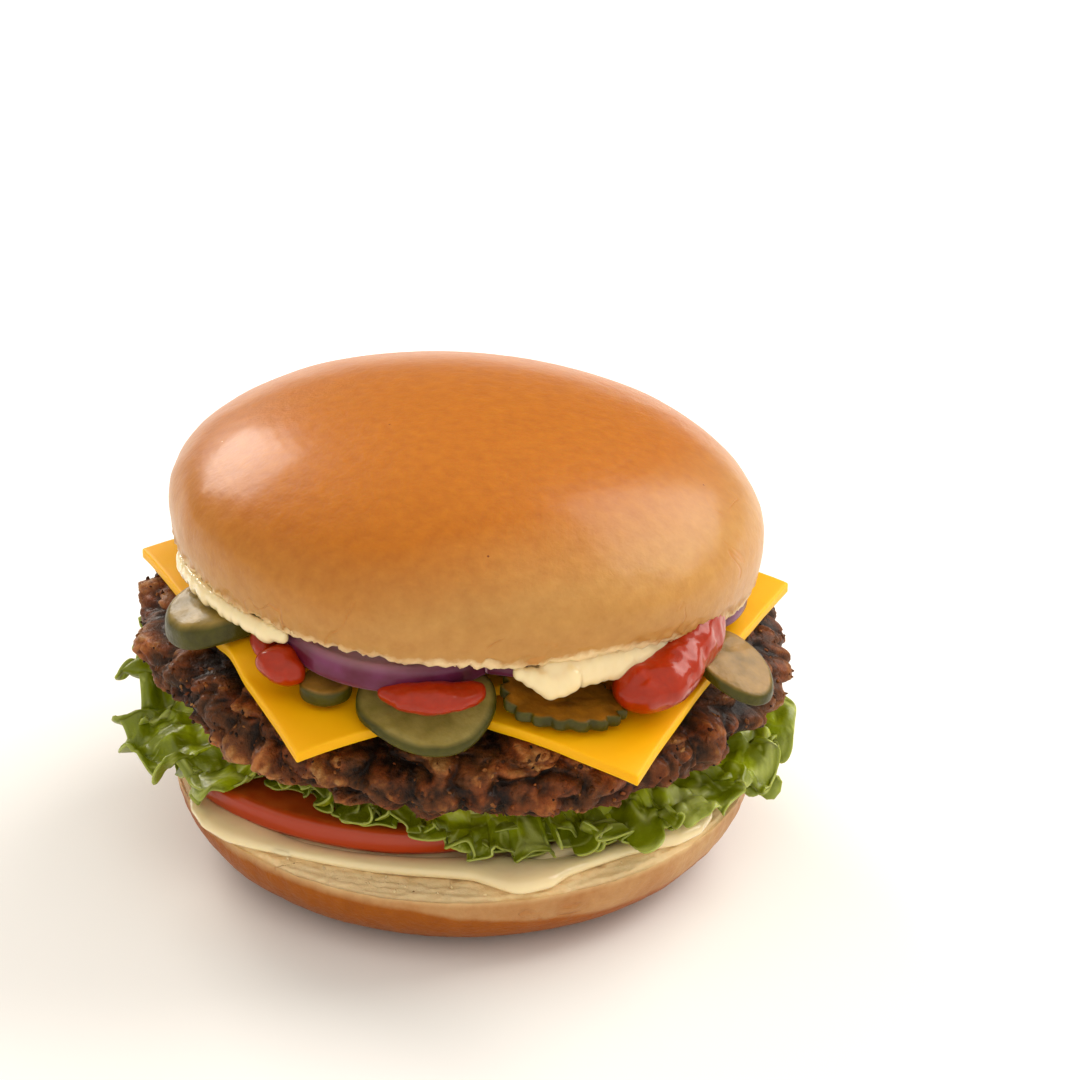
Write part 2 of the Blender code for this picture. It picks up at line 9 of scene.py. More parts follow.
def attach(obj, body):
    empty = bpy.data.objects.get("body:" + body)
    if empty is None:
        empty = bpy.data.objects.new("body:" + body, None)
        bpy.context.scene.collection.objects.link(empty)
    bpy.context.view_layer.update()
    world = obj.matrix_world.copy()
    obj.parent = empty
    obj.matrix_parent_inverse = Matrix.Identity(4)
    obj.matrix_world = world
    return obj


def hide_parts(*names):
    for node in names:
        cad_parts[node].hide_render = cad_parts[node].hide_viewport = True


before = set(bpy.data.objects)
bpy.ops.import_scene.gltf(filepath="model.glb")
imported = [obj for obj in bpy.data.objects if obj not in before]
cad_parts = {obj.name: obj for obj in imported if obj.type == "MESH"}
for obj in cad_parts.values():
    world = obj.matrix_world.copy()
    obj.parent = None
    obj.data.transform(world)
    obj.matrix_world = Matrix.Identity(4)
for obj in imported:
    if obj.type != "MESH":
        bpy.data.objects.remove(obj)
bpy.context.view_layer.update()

bl_info = {
    "name": "Hamburger",
    "version": (1, 0, 0),
    "blender": (4, 5, 0),
    "location": "View3D > Sidebar > Hamburger",
    "description": "Models the pieces of a hamburger around its solids, and a plain stage for it",
    "category": "Add Mesh",
}

BODY = "root"

# Where the crown sits, tipped back a little and down to the right
CROWN_TURN = (math.radians(-3.5), math.radians(5.0), 0.0)
CROWN_PLACE = (0.0003, 0.0, 0.0580)
CROWN_CUT_RADIUS = 0.0525
CROWN_WIDEST = 0.008
CROWN_SQUARENESS = 2.08
CROWN_HOLLOW = 0.0047
HOLLOW_RADII = (0.0, 0.0300, 0.0430, 0.0497)
HOLLOW_SHARES = (1.0, 1.0, 0.5, 0.0)
CROWN_OFF_CENTRE = 0.0012
CROWN_LIFT = (-55.0, 30.0, 0.0026)

# The filling leans: lower to the right, and lower in front
LEAN_RIGHT = 0.0524
LEAN_FRONT = 0.045
GAP = 0.0003

HEEL_FOOT_RADIUS = 0.036
HEEL_ROUNDING = 0.015
PATTY_MIDDLE = 0.0407
PATTY_CENTRE = (0.0, 0.0015)
PATTY_SQUARENESS = 6.0
PATTY_RELIEF = 0.0038
PATTY_LUMP = 0.0085
TOMATO_CENTRE = (-0.0099, 0.0)

# Where the cheese starts to bend down towards its corners, and how fast
DROOP_START = 0.044
DROOP_RATE = 7.5
DROOP_EASE = 0.060
CHEESE_LAYER = 0.0029
# (centre x, centre y, turn in degrees) of the two slices
CHEESE_LOWER = (0.0121, -0.0108, -24.8)
CHEESE_UPPER = (-0.0110, -0.0089, 25.2)

# (centre x, centre y, radius along x, along y, turn in degrees, thickness, slope along x, along y, rise over
# what it lies on, how far off a cheese slice still lifts it)
PICKLES = {
    "pickle_left": (-0.0437, -0.0222, 0.0100, 0.0095, 0, 0.0050, 0.02, 0.02, -0.0008, 0.020),
    "pickle_inner": (-0.0241, -0.0442, 0.0047, 0.0040, 0, 0.0031, 0.00, 0.00, 0.0, 0.009),
    "pickle_front": (-0.0067, -0.0482, 0.0124, 0.0093, 0, 0.0018, 0.00, 0.00, 0.0, 0.011),
    "pickle_ridged": (0.0178, -0.0456, 0.0114, 0.0066, 0, 0.0021, 0.00, 0.00, 0.0, 0.009),
    "pickle_right": (0.0480, -0.0306, 0.0070, 0.0086, 38, 0.0024, 0.00, 0.00, 0.0, 0.026),
}
RIDGE_COUNT = 17
RIDGE_DEPTH = 0.0012
# How amber the cut face of each one is drawn; on pickle_right it is a painted reflection of the cheese
AMBER = {"pickle_left": 0.35, "pickle_inner": 0.7, "pickle_front": 0.1, "pickle_ridged": 0.95,
         "pickle_right": 0.6}

# (centre x, centre y, radius, thickness)
ONION_LEFT = (-0.0120, -0.0303, 0.0213, 0.0050)
ONION_RIGHT = (0.0115, -0.0045, 0.0412, 0.0031)
# Its edge is pressed in beside the ketchup: (angle in degrees, half width, depth as a share)
ONION_NOTCH = (-44.0, 20.0, 0.18)
ONION_LEFT_PLANE = 0.0574
ONION_RIGHT_PLANE = 0.0532
ONION_RIGHT_SLOPE = (-0.078, -0.056)
ONION_BACK = 0.0060

# Lumps that each drop of ketchup is made of: (x, y, radius, height)
KETCHUP = {
    "ketchup_left": ((-0.0348, -0.0350, 0.0030, 0.0048), (-0.0342, -0.0366, 0.0030, 0.0046),
                     (-0.0332, -0.0384, 0.0024, 0.0034), (-0.0319, -0.0416, 0.0042, 0.0058),
                     (-0.0314, -0.0428, 0.0040, 0.0056)),
    "ketchup_middle": ((-0.0128, -0.0512, 0.0024, 0.0034), (-0.0096, -0.0526, 0.0032, 0.0042),
                       (-0.0056, -0.0534, 0.0038, 0.0048), (-0.0014, -0.0528, 0.0034, 0.0044),
                       (0.0016, -0.0510, 0.0026, 0.0036)),
    "ketchup_right": ((0.0318, -0.0442, 0.0058, 0.0082), (0.0345, -0.0425, 0.0062, 0.0088),
                      (0.0375, -0.0382, 0.0052, 0.0094), (0.0400, -0.0338, 0.0046, 0.0104),
                      (0.0424, -0.0298, 0.0040, 0.0112), (0.0440, -0.0262, 0.0032, 0.0112)),
}
MINCE_COUNT = 1200
CRUMB_COUNT = 150

# Segments round the axis, and rings from top to foot, of each turned piece
GRIDS = {"crown": (560, 172), "heel": (560, 150), "tomato": (360, 72), "patty": (640, 150),
         "pickle": (264, 60), "onion": (320, 110), "lower sauce": (420, 70), "upper sauce": (480, 70)}
# Voxels that merged drops are filled with, and the rounds of smoothing after it
VOXELS = {"ketchup": (0.00032, 10), "tongues": (0.0004, 12), "beads": (0.0003, 14)}
TONGUE_THICKENING = 4
KETCHUP_THICKENING = 3
# Rings of an onion, from one to the next
ONION_RING = 0.0033
# Height that the upper sauce is first turned with, before it takes its real thickness
SHEET_HEIGHT = 0.003

# Where the middle of the burger is in the frame, in the photograph's pixels, and the frame's side
FRAME_SIDE = 1080
BURGER_MIDDLE = (463, 598)
WINDOW_DISTANCE = 1.8
# (direction round the burger, height above the floor, both in degrees, sides of the window, colour)
LEFT_WINDOW = (122, 27, (0.75, 0.75), "#fff6ec")
RIGHT_WINDOW = (30, 38, (1.50, 1.20), "#fffaf3")
# Direction that the pale light is strongest from, and its share where it is weakest
BRIGHT_SIDE = (0.0, -0.75, 0.66)
DIM_SHARE = 0.16

# Sauce squeezed out under the rim of the crown: (first angle, last angle, radius, size of the lumps, depth)
SQUEEZED = ((-168.0, -126.0, 0.0526, 0.0019, 0.0), (-74.0, -38.0, 0.0516, 0.0029, 0.0),
            (-72.0, -44.0, 0.0526, 0.0019, 0.0022))
# The lowest drip of it: (x, y, depth under the rim, radius)
DRIP = (
    (0.0098, -0.0508, 0.0018, 0.0013), (0.0118, -0.0508, 0.0026, 0.0017),
    (0.0138, -0.0507, 0.0036, 0.002), (0.0152, -0.0506, 0.0046, 0.0021),
    (0.0172, -0.0502, 0.0042, 0.0021), (0.0186, -0.0498, 0.0034, 0.0022),
)
# Fat tongues of the lower sauce on the heel: (x, y, radius, height)
TONGUES = (
    (-0.0478, -0.0205, 0.003, 0.0024), (-0.0462, -0.0255, 0.0042, 0.0028),
    (-0.0436, -0.0298, 0.005, 0.0032), (-0.0402, -0.0334, 0.005, 0.0032),
    (-0.0368, -0.036, 0.004, 0.0028), (-0.0334, -0.0384, 0.0028, 0.0024),
    (-0.029, -0.0406, 0.0023, 0.0022), (-0.0246, -0.0424, 0.0022, 0.0023),
    (-0.02, -0.044, 0.0022, 0.0024), (-0.0154, -0.0452, 0.0024, 0.0026),
    (-0.0108, -0.0459, 0.0025, 0.0026), (-0.0062, -0.0464, 0.0026, 0.0026),
    (-0.0016, -0.0468, 0.0029, 0.0028), (0.003, -0.0472, 0.0035, 0.0032),
    (0.007, -0.0486, 0.0046, 0.0038), (0.0102, -0.0502, 0.005, 0.0042),
    (0.0136, -0.0494, 0.0042, 0.0038), (0.0172, -0.0468, 0.0028, 0.0028),
    (0.0212, -0.0448, 0.002, 0.0022), (0.0252, -0.0424, 0.0019, 0.0022),
    (0.0292, -0.0398, 0.0021, 0.0024), (0.0334, -0.037, 0.0032, 0.0032),
    (0.0372, -0.0348, 0.0042, 0.0038), (0.0404, -0.0322, 0.004, 0.0036),
    (0.043, -0.0284, 0.003, 0.0028),
)

# Sauce edges: (angle in degrees, how far the lobe runs out, half width in degrees)
SAUCE_RADIUS = 0.0470
LOWER_SAUCE_THICK = 0.0019
LOWER_SAUCE_LOBES = ((-146, 0.0064, 12), (-130, 0.0064, 9), (-113, 0.0032, 12), (-79, 0.0072, 8),
                     (-41, 0.0072, 8), (-22, 0.0066, 9), (20, 0.003, 14), (70, 0.005, 10), (120, 0.003, 16),
                     (165, 0.004, 12))
UPPER_SAUCE_THICK = 0.0009
UPPER_SAUCE_FATNESS = 0.62
UPPER_SAUCE_LOBES = ((-160, 0.0048, 15), (-71, 0.0060, 7), (-54, 0.0046, 11), (37, 0.0036, 11),
                     (60, 0.0050, 16), (90, 0.0048, 16), (120, 0.0056, 17), (149, 0.0058, 16),
                     (175, 0.0050, 13))

# Lettuce: (first angle, last angle) of each leaf
LEAVES = {
    "lettuce_left": (133.0, 216.5),
    "lettuce_front": (217.5, 288.0),
    "lettuce_right": (289.0, 384.0),
    "lettuce_back": (385.0, 492.0),
}
LEAF_INNER_RADIUS = 0.028
# Its edge all round: (angle, radius, height)
LEAF_EDGE = ((0, 0.0590, 0.0260), (22, 0.0595, 0.0260), (45, 0.0600, 0.0250), (70, 0.0590, 0.0240),
             (95, 0.0600, 0.0245), (120, 0.0590, 0.0255), (145, 0.0610, 0.0300), (165, 0.0630, 0.0345),
             (180, 0.0637, 0.0310), (190, 0.0640, 0.0265), (202, 0.0618, 0.0230), (213, 0.0575, 0.0210),
             (218, 0.0490, 0.0262), (232, 0.0462, 0.0268), (245, 0.0474, 0.0262), (262, 0.0486, 0.0250),
             (272, 0.0498, 0.0222), (283, 0.0506, 0.0195), (294, 0.0505, 0.0215), (303, 0.0540, 0.0210),
             (315, 0.0560, 0.0205), (328, 0.0575, 0.0215), (338, 0.0610, 0.0225), (350, 0.0610, 0.0240))


def linear(hex_colour):
    """An sRGB hex colour as the linear values that Blender works in."""
    parts = [int(hex_colour[i:i + 2], 16) / 255 for i in (1, 3, 5)]
    return tuple(c / 12.92 if c <= 0.04045 else ((c + 0.055) / 1.055) ** 2.4 for c in parts)


def size_property(name, description, default):
    return FloatProperty(name=name, description=description, default=default, min=0.0001,
                         unit="LENGTH", subtype="DISTANCE", precision=4)


def colour_property(name, description, default):
    return FloatVectorProperty(name=name, description=description, default=linear(default), min=0.0, max=1.0,
                               size=3, subtype="COLOR")


class HamburgerSizes(bpy.types.PropertyGroup):
    """The sizes that drive the pieces. The solids have the same ones."""

    bun_radius: size_property("Bun radius", "Radius of the crown and the heel", 0.055)
    crown_height: size_property("Crown height", "Height of the crown above its cut", 0.0300)
    heel_height: size_property("Heel height", "Height of the heel", 0.0165)
    patty_radius: size_property("Patty radius", "Radius of the patty", 0.0622)
    patty_half: size_property("Patty half thickness", "Half the thickness of the patty", 0.0085)
    cheese_side: size_property("Cheese side", "Side of a square cheese slice", 0.0742)
    cheese_thick: size_property("Cheese thickness", "Thickness of a cheese slice", 0.0020)
    tomato_radius: size_property("Tomato radius", "Radius of the tomato slice", 0.0445)
    tomato_thick: size_property("Tomato thickness", "Thickness of the tomato slice", 0.0045)
    leaf_thick: size_property("Leaf thickness", "Thickness of a lettuce leaf", 0.0004)
    leaf_layers: IntProperty(name="Leaf layers", description="Layers of lettuce in each leaf", default=3,
                             min=1, max=4)


class HamburgerColours(bpy.types.PropertyGroup):
    """The main colour of each food."""

    crust: colour_property("Crust", "Browned top of the bun", "#b0640a")
    crust_pale: colour_property("Pale crust", "Crust near the cut of the bun", "#b88646")
    heel_crust: colour_property("Heel crust", "Browned side of the heel", "#9a520c")
    crumb: colour_property("Crumb", "Soft inside of the bun", "#e6c998")
    patty: colour_property("Patty", "Seared beef", "#683919")
    cheese: colour_property("Cheese", "Processed cheese", "#f4b200")
    lettuce: colour_property("Lettuce", "Blade of the leaf", "#a8b60a")
    tomato: colour_property("Tomato", "Skin of the tomato", "#a83406")
    pickle: colour_property("Pickle", "Skin of the pickle", "#4e4a0a")
    onion: colour_property("Onion", "Skin side of the red onion", "#541024")
    ketchup: colour_property("Ketchup", "Ketchup", "#a62800")
    sauce: colour_property("Sauce", "Mayonnaise", "#efd9a8")


class HamburgerStage(bpy.types.PropertyGroup):
    """Camera and lights."""

    distance: size_property("Camera distance", "From the camera to the middle of the burger", 0.70)
    elevation: FloatProperty(name="Elevation", description="Angle of the camera above the floor",
                             default=math.radians(28.0), subtype="ANGLE")
    focal: FloatProperty(name="Focal length", description="In millimetres, on a 36 mm sensor",
                         default=125.07)
    target_height: size_property("Target height", "Height that the camera looks at", 0.0475)
    fill: FloatProperty(name="Fill", description="Strength of the pale light from all round",
                        default=1.30, min=0.0)
    key_power: FloatProperty(
        name="Left power", description="Power of the window behind to the left, in watts", default=18.0,
        min=0.0)
    side_power: FloatProperty(
        name="Right power", description="Power of the window behind to the right, in watts", default=30.0,
        min=0.0)


def deselect_all():
    bpy.ops.object.select_all(action="DESELECT")


def only(piece):
    """Makes the piece the one that is selected and active."""
    deselect_all()
    piece.select_set(True)
    bpy.context.view_layer.objects.active = piece


def started(name):
    """The primitive just added, named."""
    piece = bpy.context.active_object
    piece.name = name
    piece.data.name = name
    return piece


def points_of(piece):
    flat = np.empty(len(piece.data.vertices) * 3, np.float32)
    piece.data.vertices.foreach_get("co", flat)
    return flat.reshape(-1, 3).astype(float)


def place_points(piece, points):
    piece.data.vertices.foreach_set("co", np.asarray(points, np.float32).ravel())
    piece.data.update()


def normals_of(piece):
    flat = np.empty(len(piece.data.vertices) * 3, np.float32)
    piece.data.vertices.foreach_get("normal", flat)
    return flat.reshape(-1, 3)


def from_axis(points):
    """Distance of each point from the upright axis."""
    return np.hypot(points[:, 0], points[:, 1])


def round_axis(points):
    """Angle of each point round the upright axis, in radians."""
    return np.arctan2(points[:, 1], points[:, 0])


def keep_value(piece, name, values):
    """Stores one number for each vertex, for the material to read."""
    attribute = piece.data.attributes.new(name, "FLOAT", "POINT")
    attribute.data.foreach_set("value", np.asarray(values, np.float32))


def add_modifier(piece, kind, **settings):
    modifier = piece.modifiers.new(kind.title(), kind)
    for setting, value in settings.items():
        setattr(modifier, setting, value)
    only(piece)
    bpy.ops.object.modifier_apply(modifier=modifier.name)


def finished(piece, material, slot, *nodes):
    """Applies the place of a finished piece and ties it to the frame."""
    only(piece)
    bpy.ops.object.transform_apply(location=True, rotation=True, scale=True)
    bpy.ops.object.shade_smooth()
    piece.data.materials.clear()
    piece.data.materials.append(material)
    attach(piece, BODY)
    if nodes:
        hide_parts(*nodes)


def scattered(cells, salt):
    """A steady number from 0 to 1 for each whole-numbered cell, as if drawn by lot."""
    mixed = (cells @ np.array((73856093, 19349663, 83492791)) + salt * 7919) & 0xFFFFFFFF
    mixed = ((mixed ^ (mixed >> 15)) * 0x2C1B3C6D) & 0xFFFFFFFF
    mixed = ((mixed ^ (mixed >> 12)) * 0x297A2D39) & 0xFFFFFFFF
    return ((mixed ^ (mixed >> 15)) & 0xFFFFFF) / 0xFFFFFF


def bumps(points, size, seed=0, octaves=1):
    """Soft gradient noise, about -1 to 1, its bumps about that size in metres."""
    total = np.zeros(len(points))
    for octave in range(octaves):
        spots = points / size * 2 ** octave + 31.7 * (seed + octave)
        cell = np.floor(spots).astype(np.int64)
        inside = spots - cell
        ease = inside ** 3 * (inside * (inside * 6 - 15) + 10)
        for corner in np.ndindex(2, 2, 2):
            pull = np.column_stack([scattered(cell + corner, salt) * 2 - 1 for salt in (1, 2, 3)])
            weight = np.prod(np.where(corner, ease, 1 - ease), axis=1)
            total += 1.6 * 0.5 ** octave * weight * ((inside - corner) * pull).sum(axis=1)
    return total


def grains(points, size, seed=0):
    """Distance to the nearest and to the second nearest of scattered grains of that size, in sizes."""
    spots = points / size
    cell = np.floor(spots).astype(np.int64)
    near = np.full(len(points), 9.0)
    second = near.copy()
    for step in np.ndindex(3, 3, 3):
        there = cell + np.array(step) - 1
        grain = there + np.column_stack([scattered(there, seed + salt) for salt in (5, 6, 7)])
        far = np.linalg.norm(spots - grain, axis=1)
        second = np.minimum(second, np.maximum(near, far))
        near = np.minimum(near, far)
    return near, second


def held(value, low, high):
    """The value, eased so that it stays between low and high."""
    middle = (low + high) / 2
    half = np.maximum((high - low) / 2, 0.0002)
    return middle + half * np.tanh((value - middle) / half)


def smooth_step(low, high, value):
    """Smoothly from 0 at low to 1 at high."""
    share = np.clip((value - low) / (high - low), 0.0, 1.0)
    return share * share * (3.0 - 2.0 * share)


def degrees_off(angle, centre):
    return (angle - centre + 180.0) % 360.0 - 180.0


def lean(x, y):
    return LEAN_FRONT * y - LEAN_RIGHT * x


def outside_slice(x, y, slice_place, side):
    """How far a point lies outside a cheese slice in plan, 0 inside it."""
    turn = math.radians(-slice_place[2])
    dx, dy = x - slice_place[0], y - slice_place[1]
    along = np.abs(dx * math.cos(turn) - dy * math.sin(turn)) - side / 2
    across = np.abs(dx * math.sin(turn) + dy * math.cos(turn)) - side / 2
    return np.hypot(np.maximum(along, 0.0), np.maximum(across, 0.0))


def drape(x, y, sizes):
    """Height of the surface that the cheese follows over the top of the patty."""
    beyond = np.maximum(0.0, np.hypot(x, y) - DROOP_START)
    droop = DROOP_RATE * beyond * beyond / (1.0 + beyond / DROOP_EASE)
    return PATTY_MIDDLE + sizes.patty_half - droop + lean(x, y)


def cheese_share(x, y, slice_place, reach, side):
    """1 on a cheese slice, falling to 0 at reach outside it."""
    return 1.0 - smooth_step(0.0006, reach, outside_slice(x, y, slice_place, side))


def topping_floor(x, y, reach, sizes):
    """Height that a topping lies at, over the patty and whichever slices are under it."""
    slices = sum(cheese_share(x, y, place, reach, sizes.cheese_side)
                 for place in (CHEESE_LOWER, CHEESE_UPPER))
    return drape(x, y, sizes) + 2 * GAP + slices * CHEESE_LAYER


def crown_hollow(radius):
    return CROWN_HOLLOW * np.interp(radius, HOLLOW_RADII, HOLLOW_SHARES)


def crown_lift(x, y, height):
    """How far the rim is pushed up where it is torn, fading up the side of the dome."""
    centre, half_width, rise = CROWN_LIFT
    off = degrees_off(np.degrees(np.arctan2(y, x)), centre)
    round_share = np.exp(-((off / half_width) ** 2)) * smooth_step(0.030, 0.048, np.hypot(x, y))
    return rise * round_share * (1.0 - smooth_step(0.002, 0.016, height))


def crown_turn_matrix():
    return np.array(Euler(CROWN_TURN).to_matrix())


def crown_underside(x, y):
    """World height of the underside of the crown over each point."""
    turn = crown_turn_matrix()
    height = np.full(len(x), CROWN_PLACE[2])
    for _ in range(4):
        local = (np.column_stack((x, y, height)) - CROWN_PLACE) @ turn
        under = crown_hollow(from_axis(local)) + crown_lift(local[:, 0], local[:, 1], 0.0)
        height += under - local[:, 2]
    return height


def rounded(profile, times=2):
    """The profile with its corners cut, so that it turns softly."""
    points = np.array(profile, float)
    for _ in range(times):
        near = points[:-1] * 0.75 + points[1:] * 0.25
        far = points[:-1] * 0.25 + points[1:] * 0.75
        points = np.vstack((points[:1], np.column_stack((near, far)).reshape(-1, 2), points[-1:]))
    return points


def turned(name, profile, segments, rings, hidden_radius=0.0, top_shows=False):
    """A grid wrapped round the axis onto a profile, from its top to its foot, and closed at the seam.
    Inside hidden_radius its rings lie further apart, on top only where top_shows isn't set."""
    deselect_all()
    bpy.ops.mesh.primitive_grid_add(x_subdivisions=segments, y_subdivisions=rings, size=1.0)
    piece = started(name)
    points = points_of(piece)
    profile = np.array(profile, float)
    lengths = np.hypot(*np.diff(profile, axis=0).T)
    middle_radius = (profile[:-1, 0] + profile[1:, 0]) / 2
    hidden = middle_radius < hidden_radius
    if top_shows:
        hidden[:np.argmax(profile[:, 0])] = False
    lengths[hidden] *= 0.15
    run = np.concatenate(([0.0], np.cumsum(lengths)))
    share = (0.5 - points[:, 1]) * run[-1]
    angle = points[:, 0] * 2 * math.pi
    radius = np.interp(share, run, profile[:, 0])
    place_points(piece, np.column_stack((radius * np.cos(angle), radius * np.sin(angle),
                                         np.interp(share, run, profile[:, 1]))))
    bpy.ops.object.mode_set(mode="EDIT")
    bpy.ops.mesh.select_all(action="SELECT")
    bpy.ops.mesh.remove_doubles(threshold=0.000002)
    bpy.ops.object.mode_set(mode="OBJECT")
    return piece


def disc(name, radius, thickness, rounding, segments, rings):
    """A disc lying on height 0, its two edges rounded."""
    turn = np.linspace(0.0, math.pi / 2, 6)
    corner = np.column_stack((radius - rounding * (1.0 - np.sin(turn)),
                              thickness - rounding * (1.0 - np.cos(turn))))
    foot = corner[::-1] * (1.0, -1.0) + (0.0, thickness)
    return turned(name, np.vstack(([(0.0, thickness)], corner, foot, [(0.0, 0.0)])), segments, rings)


def ball_cloud(name, spots, sizes, seed):
    """Many small uneven lumps in one mesh. Sizes holds three half lengths for each."""
    deselect_all()
    bpy.ops.mesh.primitive_ico_sphere_add(subdivisions=2, radius=1.0)
    piece = started(name)
    ball = points_of(piece)
    faces = np.array([tuple(face.vertices) for face in piece.data.polygons])
    count = len(spots)
    draw = np.random.default_rng(seed)
    axes = np.linalg.qr(draw.normal(size=(count, 3, 3)))[0]
    lumpy = ball[None] * (1.0 + draw.normal(0.0, 0.16, (count, len(ball), 1)))
    cloud = np.einsum("nvi,nji->nvj", lumpy * sizes[:, None, :], axes) + spots[:, None, :]
    shift = (np.arange(count) * len(ball))[:, None, None]
    mesh = bpy.data.meshes.new(name)
    mesh.from_pydata(cloud.reshape(-1, 3).tolist(), [], (faces[None] + shift).reshape(-1, 3).tolist())
    piece.data = mesh
    return piece, np.repeat(draw.random(count), len(ball))


def strung(lumps, times):
    """The lumps with more between each two, so that they run together."""
    lumps = np.array(lumps)
    stops = np.arange(len(lumps))
    share = np.linspace(0, len(lumps) - 1, (len(lumps) - 1) * times + 1)
    return [np.interp(share, stops, column) for column in lumps.T]


def merged_balls(name, spots, sizes, voxel, rounds):
    """Balls joined into one soft drop: filled as one solid, then smoothed where they meet."""
    parts = []
    for spot, size in zip(spots, sizes):
        deselect_all()
        bpy.ops.mesh.primitive_uv_sphere_add(segments=28, ring_count=16, radius=1.0, location=spot,
                                             scale=size)
        parts.append(bpy.context.active_object)
    deselect_all()
    for part in parts:
        part.select_set(True)
    bpy.ops.object.join()
    piece = started(name)
    bpy.ops.object.transform_apply(location=True, rotation=True, scale=True)
    add_modifier(piece, "REMESH", mode="VOXEL", voxel_size=voxel)
    add_modifier(piece, "SMOOTH", factor=0.5, iterations=rounds)
    return piece


def add_node(tree, kind, inputs=None, stops=(), **settings):
    """Adds a shader node with its settings, its colour stops, and its values or links by socket.
    A node given as a value is linked from the first output that its settings leave in use."""
    made = tree.nodes.new("ShaderNode" + kind)
    for setting, value in settings.items():
        setattr(made, setting, value)
    for socket, value in (inputs or {}).items():
        if isinstance(value, bpy.types.Node):
            value = in_use(value)
        if isinstance(value, bpy.types.NodeSocket):
            tree.links.new(value, made.inputs[socket])
        elif made.inputs[socket].type == "RGBA":
            made.inputs[socket].default_value = (*value, 1.0)
        else:
            made.inputs[socket].default_value = value
    for index, (place, colour) in enumerate(stops):
        elements = made.color_ramp.elements
        stop = elements[index] if index < 2 else elements.new(place)
        stop.position = place
        stop.color = (*colour, 1.0)
    return made


def in_use(node):
    """The first output that the node's settings leave in use."""
    return next(output for output in node.outputs if output.enabled)


def new_material(name, values):
    """A material of one Principled shader with these values, its tree, and where its patterns lie."""
    material = bpy.data.materials.new(name)
    material.use_nodes = True
    tree = material.node_tree
    for socket, value in values.items():
        tree.nodes["Principled BSDF"].inputs[socket].default_value = value
    return material, tree, add_node(tree, "TexCoord").outputs["Object"]


def set_surface(tree, colour, height, depth):
    """Gives the shader its colour, and bumps it by the height, up to the depth in metres."""
    shader = tree.nodes["Principled BSDF"]
    bump = add_node(tree, "Bump", {"Height": height, "Distance": depth, "Strength": 1.0})
    tree.links.new(in_use(bump), shader.inputs["Normal"])
    tree.links.new(in_use(colour), shader.inputs["Base Color"])


def pattern(millimetres):
    """Scale of a pattern whose bumps or grains are that far apart."""
    return 1000.0 / millimetres


def clouded(tree, place, millimetres, detail, stops):
    """Soft clouds of that size, and the colour that they take from one stop to the other."""
    clouds = add_node(tree, "TexNoise", {"Vector": place, "Scale": pattern(millimetres), "Detail": detail})
    return clouds, add_node(tree, "ValToRGB", {"Fac": clouds}, stops=stops)


def darker(colour, share):
    return tuple(part * share for part in colour)


def between(first, second):
    """The colour halfway between two."""
    return tuple((a + b) / 2 for a, b in zip(first, second))


